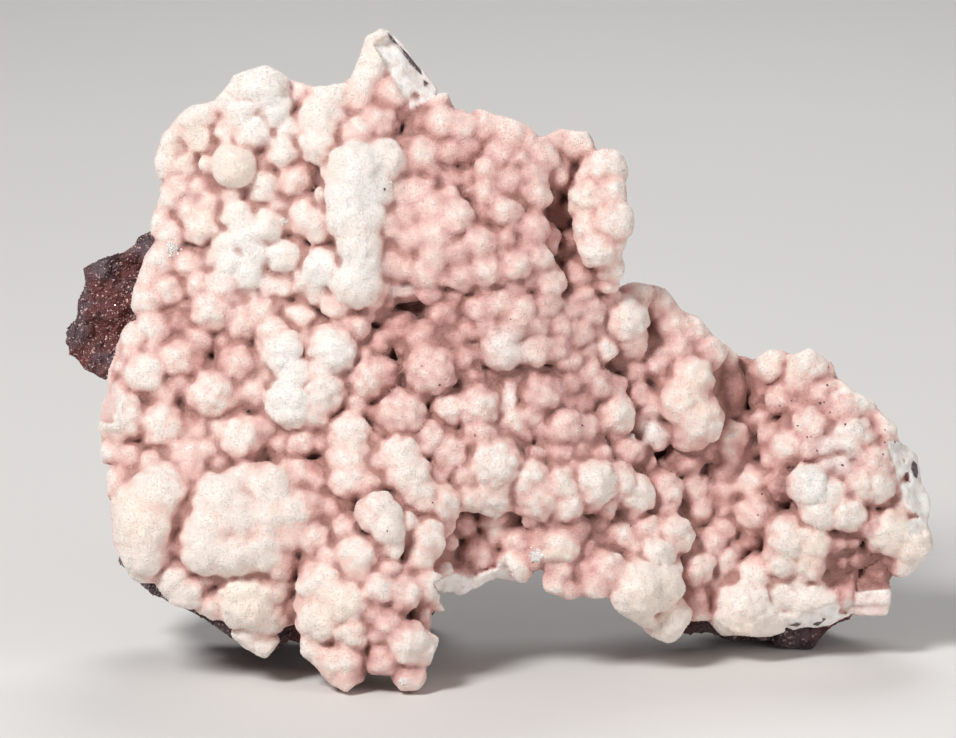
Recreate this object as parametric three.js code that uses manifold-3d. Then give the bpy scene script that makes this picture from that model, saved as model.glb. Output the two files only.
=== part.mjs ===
// Calcite on matrix: a broken plate of dark, glittering rock whose front is grown over with a crust of
// botryoidal calcite, round lumps crowded and fused into one sheet. It stands upright on three feet:
// the crust's own left foot, and two feet of rock, one behind that and one under the right-hand end.
//
// Millimetres, +Z up, the crust to the front (-Y), the floor at z = 0.
//
// Both pieces are laid out on the specimen's face, a plane that leans back: x runs across it, v up it
// and d out of it, towards the front. STAND turns the face upright and sets it over the origin.

import * as THREE from 'three';
import { ConvexGeometry } from 'three/addons/geometries/ConvexGeometry.js';
import { mergeVertices } from 'three/addons/utils/BufferGeometryUtils.js';
import Module from 'manifold-3d';

// ---- Driving sizes, mm unless said otherwise ----
const LEAN = THREE.MathUtils.degToRad(12);
const SHIFT = new THREE.Vector3(0.4, -30.4, -0.6);   // origin under the middle, feet ground off flat
const CRUST_THICKNESS = 7;                    // of the sheet, lumps not counted
const LUMP_HEIGHT = 1.1;                      // height of a lump over its radius
const SHOULDER = 0.62;                        // a lump's shoulder, as a share of the way to the crease
const GUARD = { distance: 3.5, spacing: 6, apart: 3.6, clear: 2.8, radius: 2.6 };   // points round the rim
const SWELL_REACH = 1.7;                      // a raised cluster swells the sheet out to this, in radii
const FUSE = 0.9;                             // how softly neighbouring lumps run into each other
const FILLER = { tries: 300, small: 2.3, large: 2.7, room: 0.9, seed: 7 };
const CONTACT_STEP = 12;                      // grid of the uneven surface on which the crust grew
const CONTACT_ROUGHNESS = 1.2;
const CONTACT_SEED = 3;
const GAP = 0.3;                              // clearance between crust and rock
const FAR = 90;                               // half size of the blocks used only for cutting
const FACE_MIDDLE = 60;                       // v at the middle of the face
const FACE_SPAN = { left: -75, right: 81, top: 122 };

// ---- The crust's outline on the face, [x, v], clockwise from the lower left ----
const OUTLINE = [
  // left side, a straight broken edge above v = 45
  [-70.5, 29], [-71.6, 36], [-72.6, 45], [-73.5, 50.5], [-72.2, 55], [-71.8, 59], [-70.3, 63.5],
  [-67.6, 69], [-66.6, 74.5], [-64.2, 81], [-63.6, 86], [-61.7, 91], [-62.9, 97.5],
  // the shoulder, the crown and the small ridge
  [-61, 102.3], [-56.3, 107.3], [-51.8, 108], [-48.3, 112.8], [-43, 114.2], [-39.2, 112],
  [-34, 110.8], [-29, 110.8],
  // the peak, with its slanting broken facet
  [-26.8, 112.5], [-24.3, 120], [-21.4, 121.8], [-15.2, 115.8], [-10.6, 110.2],
  // down the top right side, past the fin's two notches
  [-6.5, 107.2], [-1, 105.4], [4.5, 103.6], [7, 101], [10.8, 103], [15.8, 102.2], [17.7, 98.6],
  [21.6, 97.5], [22.6, 91], [23.8, 85], [21.4, 81], [22.3, 78], [21.2, 75.2], [27.5, 74.8],
  // the long slope to the right-hand end
  [30.2, 73.5], [33, 70], [37, 68.3], [40.5, 64.2], [43.5, 62], [46.9, 60.8], [50.5, 62.4],
  [54, 61.4], [57, 62.7], [61, 60.2], [61.7, 57.4], [65.5, 55], [69, 53], [70.5, 50.3], [73, 48.8],
  [73.7, 46.2], [77.3, 43.2], [78.2, 38.5], [79.7, 34.5], [78.9, 30.5], [79.8, 26.5], [77, 23.6],
  [73.5, 20.2], [72.4, 18.6],
  // the flat chip at the lower right and the broken lower edge
  [72.3, 15.6], [71.6, 13.9], [66.2, 13.9], [61, 11.8], [54, 11.2], [50.5, 10.4], [41, 10.4],
  [38.8, 12.8], [34.8, 12.6], [33, 10.5], [30.8, 9.4], [28, 10.2], [25.3, 12.8], [21.4, 15.5],
  // the arch between the feet
  [20.3, 17.6], [12, 17.2], [8.8, 18.8], [7, 22.2], [4.8, 20.3], [2.4, 20.2], [-0.5, 20.9],
  [-4, 19.2], [-10, 16.2],
  // the left foot
  [-11.2, 13], [-12.3, 8.5], [-13, 4], [-15, 1.3], [-18, 1.2], [-19.5, 2.6], [-25, 2.8], [-28, 0.7],
  [-30.2, 2], [-36, 7.6], [-36.2, 11.5],
  // the lower left edge
  [-39.5, 10.5], [-43, 6.8], [-46.5, 8.4], [-50.5, 12.2], [-54, 14], [-57, 16], [-60.5, 16.8],
  [-62.5, 20.4], [-66.5, 20.8], [-69, 25],
];

// ---- Broad relief of the face: soft hills of the given height and widths, centred at (x, v) ----
const BASE_DEPTH = -7;
const HILLS = [
  { x: -22, v: 14, height: 9, across: 13, along: 26 },    // the left foot leans forward
  { x: -54, v: 30, height: 5, across: 20, along: 17 },    // swell above the lower left edge
  { x: 0, v: 82, height: 7, across: 15, along: 18 },      // the upper mound
  { x: -27, v: 88, height: 3, across: 6, along: 15 },     // the pale column
  { x: 20, v: 87, height: 8, across: 4, along: 13 },      // the fin
  { x: 10.5, v: 86, height: -6, across: 3.5, along: 9 },  // the slot beside the fin
  { x: 36, v: 54, height: 5, across: 6, along: 11 },      // the pale rib
  { x: 44, v: 55, height: -5, across: 5, along: 8 },      // the hollow beside the rib
  { x: 62, v: 42, height: 6, across: 15, along: 17 },     // the right-hand end
  { x: -3, v: 28, height: -7, across: 8, along: 9 },      // the niche over the arch
  { x: 26, v: 20, height: 4, across: 10, along: 9 },      // the swell right of the arch
];
const BROAD_HILLS = HILLS.filter(({ across }) => across > 6);   // those that the rock below has too
const RIGHT_FALL = { from: 2, to: 46, depth: 16.5 };      // the right half lies further back

// ---- The lumps, [x, v, radius], in the clusters that they grow in; lift is their height over the
// ---- relief above ----
const CLUSTERS = {
  crown: { lift: 2, lumps: [
    [-47.5, 111.3, 3], [-43, 110.8, 3.8], [-50, 108.3, 2.4], [-46.8, 106, 3.2], [-45, 102.5, 3.4],
    [-41, 106.5, 3.2], [-38.3, 103.2, 2.6], [-39.9, 98.9, 2.9],
  ] },
  crownBall: { lift: 4, lumps: [[-49.6, 96.4, 3.4], [-47.2, 96.6, 3.2]] },
  shoulder: { lift: 0, lumps: [
    [-56, 105.3, 3.2], [-54.8, 101.8, 2.8], [-61, 100.2, 2.6], [-61, 97, 2.4], [-57.5, 96.5, 2.6],
    [-60.3, 90.5, 2.4], [-58.5, 92.8, 2.4], [-54.5, 92.5, 2.6], [-52.5, 89.5, 2.8],
    [-56.5, 88.5, 2.8], [-54, 85.5, 3.2], [-60, 83.5, 2.4],
  ] },
  ridge: { lift: 0, lumps: [
    [-31, 108.3, 3], [-32.8, 105.3, 3.2], [-29.3, 104.5, 2.4], [-33, 100.2, 3.5], [-37.5, 93.5, 2.7],
    [-43.5, 92.8, 2.8],
  ] },
  peak: { lift: 0.5, lumps: [
    [-22.6, 118.6, 2.4], [-24, 110.8, 2.4], [-26, 107.4, 2.4], [-20.3, 109.3, 2.9],
  ] },
  dome: { lift: 1, lumps: [[-22.5, 103.6, 3.6], [-26, 102, 3]] },
  column: { lift: 3, lumps: [
    [-26, 95, 5], [-20.7, 97, 3.6], [-26.5, 88, 4.3], [-28.5, 85.5, 2.8], [-25.5, 81, 3],
    [-26.3, 75, 3.9],
  ] },
  paleKnot: { lift: 2, lumps: [
    [-48, 87.5, 2.6], [-46.5, 84, 3], [-49, 78.5, 2.6], [-46, 76.5, 2.4], [-42.7, 85.5, 3],
    [-39.5, 80, 2.8], [-45, 80.6, 2.6],
  ] },
  innerPale: { lift: 1, lumps: [
    [-35.2, 87.5, 3], [-32, 87, 2.6], [-31.5, 78.2, 3.4], [-35.7, 76, 2.6], [-32.5, 73.6, 2.6],
    [-42, 75, 2.5], [-39.5, 74.6, 2.3],
  ] },
  leftFlank: { lift: 0.5, lumps: [
    [-57, 78.5, 2.4], [-62, 79, 2.6], [-60.8, 73.8, 2.6], [-64.4, 72, 2.6], [-54.8, 74.8, 2.6],
    [-51, 74.5, 3], [-52.7, 70, 3.4], [-49, 72.4, 2.4], [-58.5, 67.5, 2.4], [-63.3, 66.5, 2.8],
    [-55.5, 64.2, 2.4], [-47, 68, 3.4], [-43.8, 69, 3.4], [-41.5, 65.8, 2.4], [-36.4, 68, 2.9],
  ] },
  leftFace: { lift: 1, lumps: [
    [-64.5, 58.3, 3.6], [-59.2, 61, 3.3], [-69.4, 50.5, 3.9], [-61.5, 54, 2.4], [-52.5, 54.5, 4.2],
    [-48.3, 54.5, 2.5], [-61.5, 48.6, 3.9], [-56, 48, 2.6], [-50.8, 47.6, 2.4], [-47.3, 46.6, 3.8],
    [-57.5, 43.5, 3.2], [-54, 44, 2.6], [-70.6, 44.5, 2.3], [-67.3, 43, 2.4], [-69.4, 38.5, 2.6],
    [-56.5, 40, 2.6], [-48, 60, 3.4], [-63.3, 41.5, 2.4],
  ] },
  palePair: { lift: 3.5, lumps: [
    [-39.6, 62.3, 3.2], [-30.6, 62.6, 3.9], [-37.5, 58.5, 3.2], [-38.3, 53, 4.4], [-32.6, 55, 3.8],
    [-34, 51, 2.6], [-33, 58.5, 3],
  ] },
  belowPair: { lift: 0, lumps: [
    [-36.5, 46.3, 2.6], [-43.3, 48.6, 2.4], [-37.5, 39.8, 2.9], [-33.5, 38.8, 3.4], [-35, 34, 2.6],
  ] },
  rib: { lift: 2, lumps: [[-27.5, 47.2, 3.4], [-27.5, 42.8, 3.6], [-27.2, 39, 3.2], [-24, 38, 2.4]] },
  balls: { lift: 2, lumps: [
    [-24.5, 57.5, 3.6], [-21.6, 58.3, 2.6], [-17.8, 51, 3.9], [-12.8, 59, 4.1], [-18.5, 43.4, 3.5],
    [-21, 42, 2.8], [-17, 39.8, 3.6], [-13, 46.3, 2.9], [-9.5, 43.9, 3.2], [-8.8, 52.4, 3],
    [-4.5, 52.5, 3.6], [-4, 47.8, 3.1],
  ] },
  middleBand: { lift: 0, lumps: [
    [-18.5, 66.5, 3], [-13.8, 65, 2.8], [-10, 69.3, 2.9], [-17.5, 77.3, 2.4], [-11, 84, 3],
    [-20.5, 85.3, 2.3], [-15, 91.3, 2.3], [-14, 98.5, 2.7], [-10.6, 104, 2.4],
  ] },
  mound: { lift: 0, lumps: [
    [-7, 103, 2.4], [-2.5, 103.2, 2.8], [1.5, 102, 3], [4.5, 100.6, 2.6], [-6, 99.6, 2.3],
    [0, 98.5, 2.5], [7, 98.3, 3], [3.5, 97.4, 2.3], [10, 95.5, 2.8], [5.5, 94.6, 2.5], [-2, 95, 2.5],
    [1.5, 93.4, 2.3], [6, 91, 2.6], [0.8, 88, 2.5], [-2.2, 91, 2.5], [5.5, 85, 2.8], [8, 83, 2.6],
    [-8, 86.5, 3.1], [-4, 82.3, 3], [-6.7, 77, 2.8], [-2.5, 77.8, 2.7], [2.5, 78.3, 2.5],
    [6.5, 79.3, 2.5], [8.3, 75.2, 3], [8, 71, 2.6], [3.5, 70, 2.9], [-0.5, 71.6, 2.5],
    [-3.6, 70.6, 2.3], [0.4, 63.5, 3.8], [6, 63.3, 3], [14.6, 73, 2.4],
  ] },
  topRight: { lift: 0, lumps: [[12.8, 100.6, 3], [15.3, 99.6, 2.5]] },
  fin: { lift: 1, lumps: [
    [19.6, 96.4, 2.9], [16.6, 94.8, 2.3], [20.6, 93.6, 2.3], [16, 90.4, 2.8], [19.4, 90.6, 3],
    [18.5, 86.4, 3.4], [21.3, 85.3, 2.5], [16, 81.6, 2.3], [18.6, 81.6, 2.8], [20, 78.2, 2.5],
  ] },
  saddle: { lift: 0.5, lumps: [
    [22.5, 68.6, 4], [23.8, 64.6, 3], [18.6, 63.3, 2.4], [24.5, 72.3, 2.6], [28.8, 71.6, 2.8],
    [31.6, 67.4, 3], [35.4, 65.8, 3], [29, 60.4, 2.8], [32.5, 62.4, 3], [37.8, 62.4, 3],
    [12, 61, 2.4], [15.3, 58.9, 2.3], [17.2, 56.8, 2.7], [20.2, 55.8, 2.4], [20.8, 51, 3.2],
    [28.2, 52.4, 2.5], [28.4, 47.4, 2.6],
  ] },
  paleRib: { lift: 1, lumps: [[35.5, 57.4, 3.3], [34, 53.5, 3.6], [36.5, 50, 3.8], [35, 47.6, 2.9]] },
  hollow: { lift: -1, lumps: [[40.8, 57, 2.8], [41.6, 53.5, 3.7]] },
  heart: { lift: -0.5, lumps: [
    [7.5, 55.5, 3.7], [10.8, 53.6, 2.6], [11.2, 48.8, 3.5], [14.5, 48.5, 3.1], [2, 50.2, 2.9],
    [10.5, 43.3, 2.5], [14, 44, 2.6], [22.8, 44, 2.9], [-5.2, 57.4, 2.6],
  ] },
  archBrow: { lift: 2, lumps: [
    [-1, 41.6, 4.3], [-1.4, 37.6, 4.4], [-6.3, 40.4, 2.8], [-5.8, 36.8, 3], [5, 39.2, 3.2],
    [10.4, 38, 3.3], [7.2, 35.8, 3.4], [12, 34.6, 2.8], [17, 38.4, 3.6], [21.2, 38.6, 3.2],
    [24.6, 36.4, 3.1], [-0.6, 32, 2.4], [0.2, 29.6, 2.4],
  ] },
  archEdge: { lift: 0, lumps: [
    [-4, 25.4, 3.4], [2.9, 23.2, 2.9], [7.6, 28.4, 2.5], [10.9, 26.8, 3.4], [13.2, 30.2, 2.4],
    [11.4, 22.6, 2.4], [17, 30, 2.7], [19.6, 28.3, 2.3], [22, 28.8, 2.4], [19.8, 22.4, 3.1],
    [17.4, 19.5, 2.4],
  ] },
  lowerSwell: { lift: 1, lumps: [
    [25, 18.8, 4.6], [28.6, 19.4, 4.1], [28.2, 25, 3.1], [31.4, 28.6, 3.4], [26.4, 29.4, 2.7],
    [30.8, 13.2, 3.8], [23.6, 16, 2.3],
  ] },
  lowerMiddle: { lift: 0, lumps: [
    [35.8, 22.6, 3], [35.4, 17, 2.3], [40, 19.2, 2.4], [41.5, 23.6, 2.9], [38.4, 27, 2.7],
    [41, 29.6, 2.7], [47.6, 32.4, 3.5], [47.8, 21.4, 3], [30, 37, 3.1], [29.4, 33.6, 2.6],
    [35.6, 37.4, 2.6], [36.2, 33.8, 2.6], [42.2, 37, 2.5], [47, 38, 3.2], [42, 46, 3.3],
    [42.2, 43, 2.6], [34, 42.4, 2.8], [41.2, 40.4, 2.5], [45.8, 48.6, 2.4],
  ] },
  lowerPale: { lift: 2, lumps: [
    [45.4, 15.2, 4.6], [42, 13.6, 2.9], [49.6, 13.4, 3.1], [52, 18, 3.4], [58, 16.2, 4.1],
    [55.2, 19, 2.6], [53.2, 14.2, 2.3],
  ] },
  tower: { lift: 2, lumps: [[53, 28.6, 3.1], [57.4, 27.6, 2.9], [51.8, 23.4, 2.5], [56.6, 23, 2.9]] },
  whitePair: { lift: 2.5, lumps: [
    [57.2, 37.4, 4.4], [60.4, 34.6, 4], [64.4, 32, 3.3], [58.8, 32.2, 2.8],
  ] },
  rightFace: { lift: 0, lumps: [
    [53.4, 45, 3], [50.6, 46.4, 2.5], [51.4, 42.4, 2.7], [57.4, 48.6, 3.3], [57, 44.6, 2.8],
    [60.6, 45, 2.7], [56, 52, 2.4], [52.8, 54, 2.9], [59.6, 54, 3.1], [64.6, 47, 3.8],
    [63.2, 51.6, 3.2], [65.4, 44.2, 2.6], [68, 42, 3.6], [66, 38.4, 3.4], [69, 38, 3.2],
    [52, 38, 2.6], [67.6, 31, 2.3],
  ] },
  rightCrest: { lift: 0, lumps: [
    [50.5, 59.8, 3], [48.6, 58, 2.7], [49.4, 55.8, 2.3], [57, 59.8, 3.4], [56, 57.2, 3.2],
    [58.6, 57.8, 2.7], [60, 58.6, 2.3], [66.2, 52.4, 2.8], [63, 54.4, 2.4], [70.3, 48.6, 2.7],
    [71.4, 44.6, 2.7],
  ] },
  rightTip: { lift: 0.5, lumps: [
    [71.5, 29.4, 3.7], [75.8, 27.4, 3.6], [77.4, 26.4, 2.3], [74.8, 23.9, 2.4], [75.4, 35.2, 2.4],
  ] },
  leftSwell: { lift: 2, lumps: [
    [-62, 36.6, 4.6], [-66, 34.2, 3.8], [-65, 30.8, 4.9], [-64.8, 26.6, 4.1], [-65.4, 23, 2.3],
    [-50.4, 35, 5], [-46, 35.6, 5.2], [-42, 36, 4.4], [-51.6, 31, 4.2], [-52.6, 26.8, 4.8],
    [-47.2, 27.6, 3.6], [-40.6, 30, 3.5], [-42.6, 26.2, 3], [-36.4, 31.8, 3.2],
  ] },
  lowerLeft: { lift: 1, lumps: [
    [-59, 21.4, 3.3], [-57, 19.2, 3.2], [-52.3, 16.6, 2.4], [-46, 17.6, 5], [-42.4, 14.6, 3.1],
    [-42, 19, 3.2], [-40.5, 24, 3.1], [-39.6, 20, 2.5], [-45.6, 11, 2.6],
  ] },
  foot: { lift: 1.5, lumps: [
    [-34, 28.2, 2.9], [-33.5, 23.5, 2.5], [-30.5, 24.4, 2.7], [-32, 20, 4], [-28, 17, 4],
    [-34, 16.4, 2.8], [-31.5, 14.4, 4.4], [-33.4, 8.9, 2.6], [-31.3, 7, 2.5], [-28.4, 6.2, 3.2],
    [-28, 2.8, 2.5], [-27, 11.4, 2.8], [-26, 25, 3.5], [-26.2, 22.6, 2.6], [-27.8, 30, 2.5],
    [-22.4, 33.2, 3.1], [-14, 28.4, 3.2], [-15, 24.5, 2.5], [-22.4, 19.4, 2.6], [-18, 18.4, 2.9],
    [-13.4, 19.8, 2.7], [-20.5, 13.4, 2.3], [-17, 9.4, 3.5], [-14.8, 8.2, 2.8], [-21.3, 6.5, 2.6],
    [-16.6, 3, 2.5], [-15.4, 36.4, 3.5], [-11.2, 34.8, 3.4], [-11.6, 31, 2.6],
  ] },
  whiteBall: { lift: 4.5, lumps: [[-20.2, 31, 3.4]] },
};

// ---- Dark hollows between the lumps, [x, v, radius] ----
const PITS = [
  [-58, 72, 1.5], [-64.5, 61.8, 1.3], [-53, 60.8, 1.6], [-45, 56, 2], [-44, 43.8, 1.8],
  [-33, 42.2, 2], [-36.7, 35.9, 1.3], [-23.6, 49.4, 1.9], [-57.3, 30, 2], [-36.6, 23, 2.6],
  [-63, 21.6, 1.5], [-49, 13.6, 2], [-18.6, 25.6, 1.9], [-17.4, 15, 2.2], [-8.6, 24.6, 2.5],
  [-4, 30.4, 2.2], [4.4, 31.8, 2.3], [2, 36, 1.2], [4.6, 45.4, 1.6], [-8, 49, 1.5],
  [-18.4, 61.4, 2.2], [-16.5, 70.7, 2.8], [-16.5, 104.2, 3.4], [29.6, 43.6, 3],
  [46.4, 54.4, 2.4], [48.6, 26, 2.4], [48.6, 43.6, 1.8], [53.6, 33.4, 2.1], [38.4, 16.8, 1.5],
  [14.6, 33.2, 1.6], [66.4, 28, 2], [71.2, 21.8, 1.5], [-24.4, 5, 1.6], [53.8, 56.4, 1.4],
];
const PIT_DEPTH = 1.5;                                    // below the sheet, over the pit's radius

// ---- The rock, [x, v] outlines with their front and back on the face's depth scale ----
const ROCK_BODY = {
  outline: [
    [-69, 24], [-70.8, 31], [-69, 45], [-67.6, 58], [-63, 76], [-59.6, 92], [-57, 102], [-46, 109],
    [-32, 107], [-23, 113], [-13, 108.5], [0, 101], [14, 98.5], [18.5, 88], [18, 73], [31, 68.5],
    [44, 58], [57, 57.5], [68, 48.5], [75, 39], [76, 27], [71, 19.5], [64, 13.6], [58.5, 7.2],
    [50, 7.9], [41, 9], [35, 10.2], [27, 15], [18, 22], [8, 26.5], [0, 26.5], [-8, 24], [-15, 17],
    [-20, 12], [-33, 12], [-40, 8.4], [-47.5, 9], [-53, 12.8], [-59, 15.7], [-64.5, 17.8],
  ],
  front: 10, back: -37, bevel: 5,
};
const EAR = {
  outline: [
    [-60, 84], [-64, 84.8], [-67, 82], [-72, 80.2], [-76.7, 77.8], [-77.7, 70.6], [-80.2, 65.4],
    [-79.7, 62], [-76.5, 59.2], [-72, 57.4], [-62, 56],
  ],
  front: -12, back: -27, bevel: 2,
};
const CHUNKS = [
  { x: -40, v: 40, d: -32, across: 27, along: 24, deep: 13 },
  { x: -34, v: 84, d: -30, across: 23, along: 22, deep: 13 },
  { x: -2, v: 72, d: -33, across: 21, along: 25, deep: 13 },
  { x: 8, v: 48, d: -35, across: 26, along: 18, deep: 13 },
  { x: 42, v: 38, d: -40, across: 27, along: 18, deep: 12 },
  { x: 64, v: 32, d: -37, across: 11, along: 14, deep: 9 },
  { x: -46, v: 60, d: -32, across: 17, along: 20, deep: 13 },
  { x: -12, v: 50, d: -36, across: 18, along: 20, deep: 14 },
  { x: -26, v: 26, d: -42, across: 19, along: 34, deep: 19 },   // the foot behind the left foot
  { x: 52, v: 20, d: -39, across: 15, along: 14, deep: 12 },    // the foot under the right-hand end
];
const CHUNK_CORNERS = 16;
const CHUNK_REACH = 0.85;                                 // of the nearest corner, over the half size
const ROCK_ROUGHNESS = 0.8;
const ROCK_SEED = 11;

// One repeatable stream of numbers between 0 and 1.
function stream(seed) {
  let state = seed;
  return () => {
    state = (state * 1664525 + 1013904223) % 4294967296;
    return state / 4294967296;
  };
}

// Distance from (x, v) to a closed outline, negative inside.
function outlineDistance(outline, x, v) {
  let nearest = Infinity;
  let inside = false;
  outline.forEach(([ax, av], index) => {
    const [bx, bv] = outline[(index + 1) % outline.length];
    const ex = bx - ax;
    const ev = bv - av;
    const share = THREE.MathUtils.clamp(((x - ax) * ex + (v - av) * ev) / (ex * ex + ev * ev), 0, 1);
    nearest = Math.min(nearest, Math.hypot(x - ax - share * ex, v - av - share * ev));
    if (av > v !== bv > v && x < ax + (v - av) / ev * ex) inside = !inside;
  });
  return inside ? -nearest : nearest;
}

// Depth of the face between the lumps.
function relief(x, v, hills = HILLS) {
  let depth = BASE_DEPTH;
  for (const hill of hills) {
    const offset = Math.hypot((x - hill.x) / hill.across, (v - hill.v) / hill.along);
    depth += hill.height * Math.exp(-offset * offset);
  }
  return depth - RIGHT_FALL.depth * THREE.MathUtils.smoothstep(x, RIGHT_FALL.from, RIGHT_FALL.to);
}

// The named lumps, and small sunken ones wherever they leave room.
function growLumps() {
  const lumps = [];
  for (const { lift, lumps: members } of Object.values(CLUSTERS)) {
    for (const [x, v, r] of members) {
      lumps.push({ x, v, r, lift });
    }
  }
  const random = stream(FILLER.seed);
  for (let attempt = 0; attempt < FILLER.tries; attempt += 1) {
    const x = THREE.MathUtils.lerp(FACE_SPAN.left, FACE_SPAN.right, random());
    const v = FACE_SPAN.top * random();
    const r = THREE.MathUtils.lerp(FILLER.small, FILLER.large, random());
    const inside = outlineDistance(OUTLINE, x, v) < -r;
    const clearOf = ([px, pv, pr]) => Math.hypot(x - px, v - pv) > (pr + r) * FILLER.room;
    const apart = lumps.every((lump) => clearOf([lump.x, lump.v, lump.r]));
    if (inside && apart && PITS.every(clearOf)) {
      lumps.push({ x, v, r, lift: 0 });
    }
  }
  return lumps;
}

// The larger of two depths, with the crease between them filled over a width.
function fuse(a, b, width) {
  const overlap = Math.max(width - Math.abs(a - b), 0) / width;
  return Math.max(a, b) + overlap * overlap * width / 4;
}

// Depth of the crust's front at (x, v): the sheet, swollen under each cluster, with a dome on it for
// each lump and a hole for each pit.
function crustFront(lumps, x, v) {
  const near = lumps.filter((lump) => Math.hypot(x - lump.x, v - lump.v) < lump.r * SWELL_REACH);
  const offset = (lump) => Math.hypot(x - lump.x, v - lump.v) / lump.r;
  const swell = Math.max(0, ...near.map((lump) => lump.lift * (1 - (offset(lump) / SWELL_REACH) ** 4)));
  const sheet = relief(x, v) + swell;
  let depth = sheet;
  for (const lump of near.filter((each) => offset(each) < 1)) {
    const dome = lump.r * LUMP_HEIGHT * Math.sqrt(1 - offset(lump) ** 2);
    depth = fuse(depth, sheet + dome, FUSE);
  }
  for (const [px, pv, pr] of PITS) {
    const off = Math.hypot(x - px, v - pv) / pr;
    if (off < 1) depth = Math.min(depth, relief(x, v) - pr * PIT_DEPTH * (1 - off * off));
  }
  return depth;
}

// Triangles that join a set of points with no point inside another triangle's circle. The first four
// points are the corners of a rectangle round all the others, anticlockwise.
function triangulate(points) {
  const inCircle = (triangle, [px, pv]) => {
    const seen = triangle.map((index) => [points[index][0] - px, points[index][1] - pv]);
    const [[ax, av], [bx, bv], [cx, cv]] = seen;
    return (ax * ax + av * av) * (bx * cv - cx * bv) - (bx * bx + bv * bv) * (ax * cv - cx * av)
      + (cx * cx + cv * cv) * (ax * bv - bx * av) > 0;
  };
  let triangles = [[0, 1, 2], [0, 2, 3]];
  for (let index = 4; index < points.length; index += 1) {
    const opened = triangles.filter((triangle) => inCircle(triangle, points[index]));
    const rim = new Map();
    for (const [a, b, c] of opened) {
      for (const [from, to] of [[a, b], [b, c], [c, a]]) {
        if (!rim.delete(`${to} ${from}`)) rim.set(`${from} ${to}`, [from, to]);
      }
    }
    triangles = triangles.filter((triangle) => !opened.includes(triangle));
    for (const [from, to] of rim.values()) triangles.push([from, to, index]);
  }
  return triangles;
}

// Points just outside the outline, which give the lumps at the rim something to slope down to.
function guardPoints() {
  const guards = [];
  OUTLINE.forEach(([ax, av], index) => {
    const [bx, bv] = OUTLINE[(index + 1) % OUTLINE.length];
    const length = Math.hypot(bx - ax, bv - av);
    const count = Math.ceil(length / GUARD.spacing);
    for (let step = 0; step < count; step += 1) {
      const share = (step + 0.5) / count;
      const x = ax + share * (bx - ax) - GUARD.distance * (bv - av) / length;
      const v = av + share * (bv - av) + GUARD.distance * (bx - ax) / length;
      const apart = guards.every(([gx, gv]) => Math.hypot(x - gx, v - gv) > GUARD.apart);
      if (apart && outlineDistance(OUTLINE, x, v) > GUARD.clear) guards.push([x, v]);
    }
  });
  return guards;
}

// A closed block whose front is the crust's. Each lump has a vertex on its top and a ring of them on
// its shoulder, and neighbouring lumps share the vertices in the crease between them.
function crustBlock(lumps) {
  const corners = [[-FAR, -FAR], [FAR, -FAR], [FAR, 2 * FAR], [-FAR, 2 * FAR]];
  const sites = [...corners, ...lumps.map(({ x, v }) => [x, v]), ...guardPoints()];
  const radius = (site) => lumps[site - corners.length]?.r ?? GUARD.radius;
  const vertices = sites.slice();
  const addVertex = (x, v) => vertices.push([x, v]) - 1;
  const cells = new Map();
  for (const triangle of triangulate(sites)) {
    const weight = triangle.reduce((sum, site) => sum + 1 / radius(site), 0);
    const [cx, cv] = [0, 1].map((axis) =>
      triangle.reduce((sum, site) => sum + sites[site][axis] / radius(site), 0) / weight);
    const crease = addVertex(cx, cv);
    triangle.forEach((site, corner) => {
      const [x, v] = sites[site];
      const shoulder = addVertex(x + SHOULDER * (cx - x), v + SHOULDER * (cv - v));
      cells.set(`${site} ${triangle[(corner + 1) % 3]}`, { crease, shoulder });
      cells.set(`${site} ${triangle[(corner + 2) % 3]} left`, { crease, shoulder });
    });
  }

  const front = [];
  for (const [key, right] of cells) {
    const left = cells.get(`${key} left`);
    const site = parseInt(key, 10);
    if (left && site >= corners.length) {
      front.push(site, left.shoulder, right.shoulder);
      front.push(left.shoulder, left.crease, right.crease, left.shoulder, right.crease, right.shoulder);
    }
  }
  return backed(vertices.map(([x, v]) => [x, v, crustFront(lumps, x, v)]), front);
}

// Closes an open sheet of triangles with a flat back and walls.
function backed(points, front) {
  const behind = points.length;
  const back = front.map((_, index) => front[front.length - 1 - index] + behind);
  const edges = new Map();
  front.forEach((from, index) => {
    const to = front[index % 3 === 2 ? index - 2 : index + 1];
    if (!edges.delete(`${to} ${from}`)) edges.set(`${from} ${to}`, [from, to]);
  });
  const walls = [...edges.values()].flatMap(([from, to]) =>
    [from, from + behind, to, to, from + behind, to + behind]);
  const geometry = new THREE.BufferGeometry();
  const vertices = [...points, ...points.map(([x, v]) => [x, v, -FAR])];
  geometry.setAttribute('position', new THREE.Float32BufferAttribute(vertices.flat(), 3));
  geometry.setIndex([...front, ...back, ...walls]);
  return geometry;
}

// Shared vertices only, which is what the solid modeller wants.
function closed(geometry) {
  geometry.deleteAttribute('normal');
  geometry.deleteAttribute('uv');
  return mergeVertices(geometry);
}

// Moves every vertex of a closed geometry by its own random step.
function roughen(geometry, amount, random) {
  const position = geometry.getAttribute('position');
  for (let index = 0; index < position.count; index += 1) {
    for (const axis of [0, 1, 2]) {
      const moved = position.getComponent(index, axis) + amount * (2 * random() - 1);
      position.setComponent(index, axis, moved);
    }
  }
  return geometry;
}

// Everything in front of the uneven surface on which the crust grew, moved back by a clearance.
function frontBlock(clearance) {
  const cells = Math.round(2 * FAR / CONTACT_STEP);
  const block = closed(new THREE.BoxGeometry(2 * FAR, 2 * FAR, FAR, cells, cells, 1));
  block.translate(0, FACE_MIDDLE, FAR / 2);
  const random = stream(CONTACT_SEED);
  const position = block.getAttribute('position');
  for (let index = 0; index < position.count; index += 1) {
    if (position.getZ(index) === 0) {
      const depth = relief(position.getX(index), position.getY(index), BROAD_HILLS) - CRUST_THICKNESS;
      position.setZ(index, depth - clearance + CONTACT_ROUGHNESS * (2 * random() - 1));
    }
  }
  return block;
}

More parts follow.
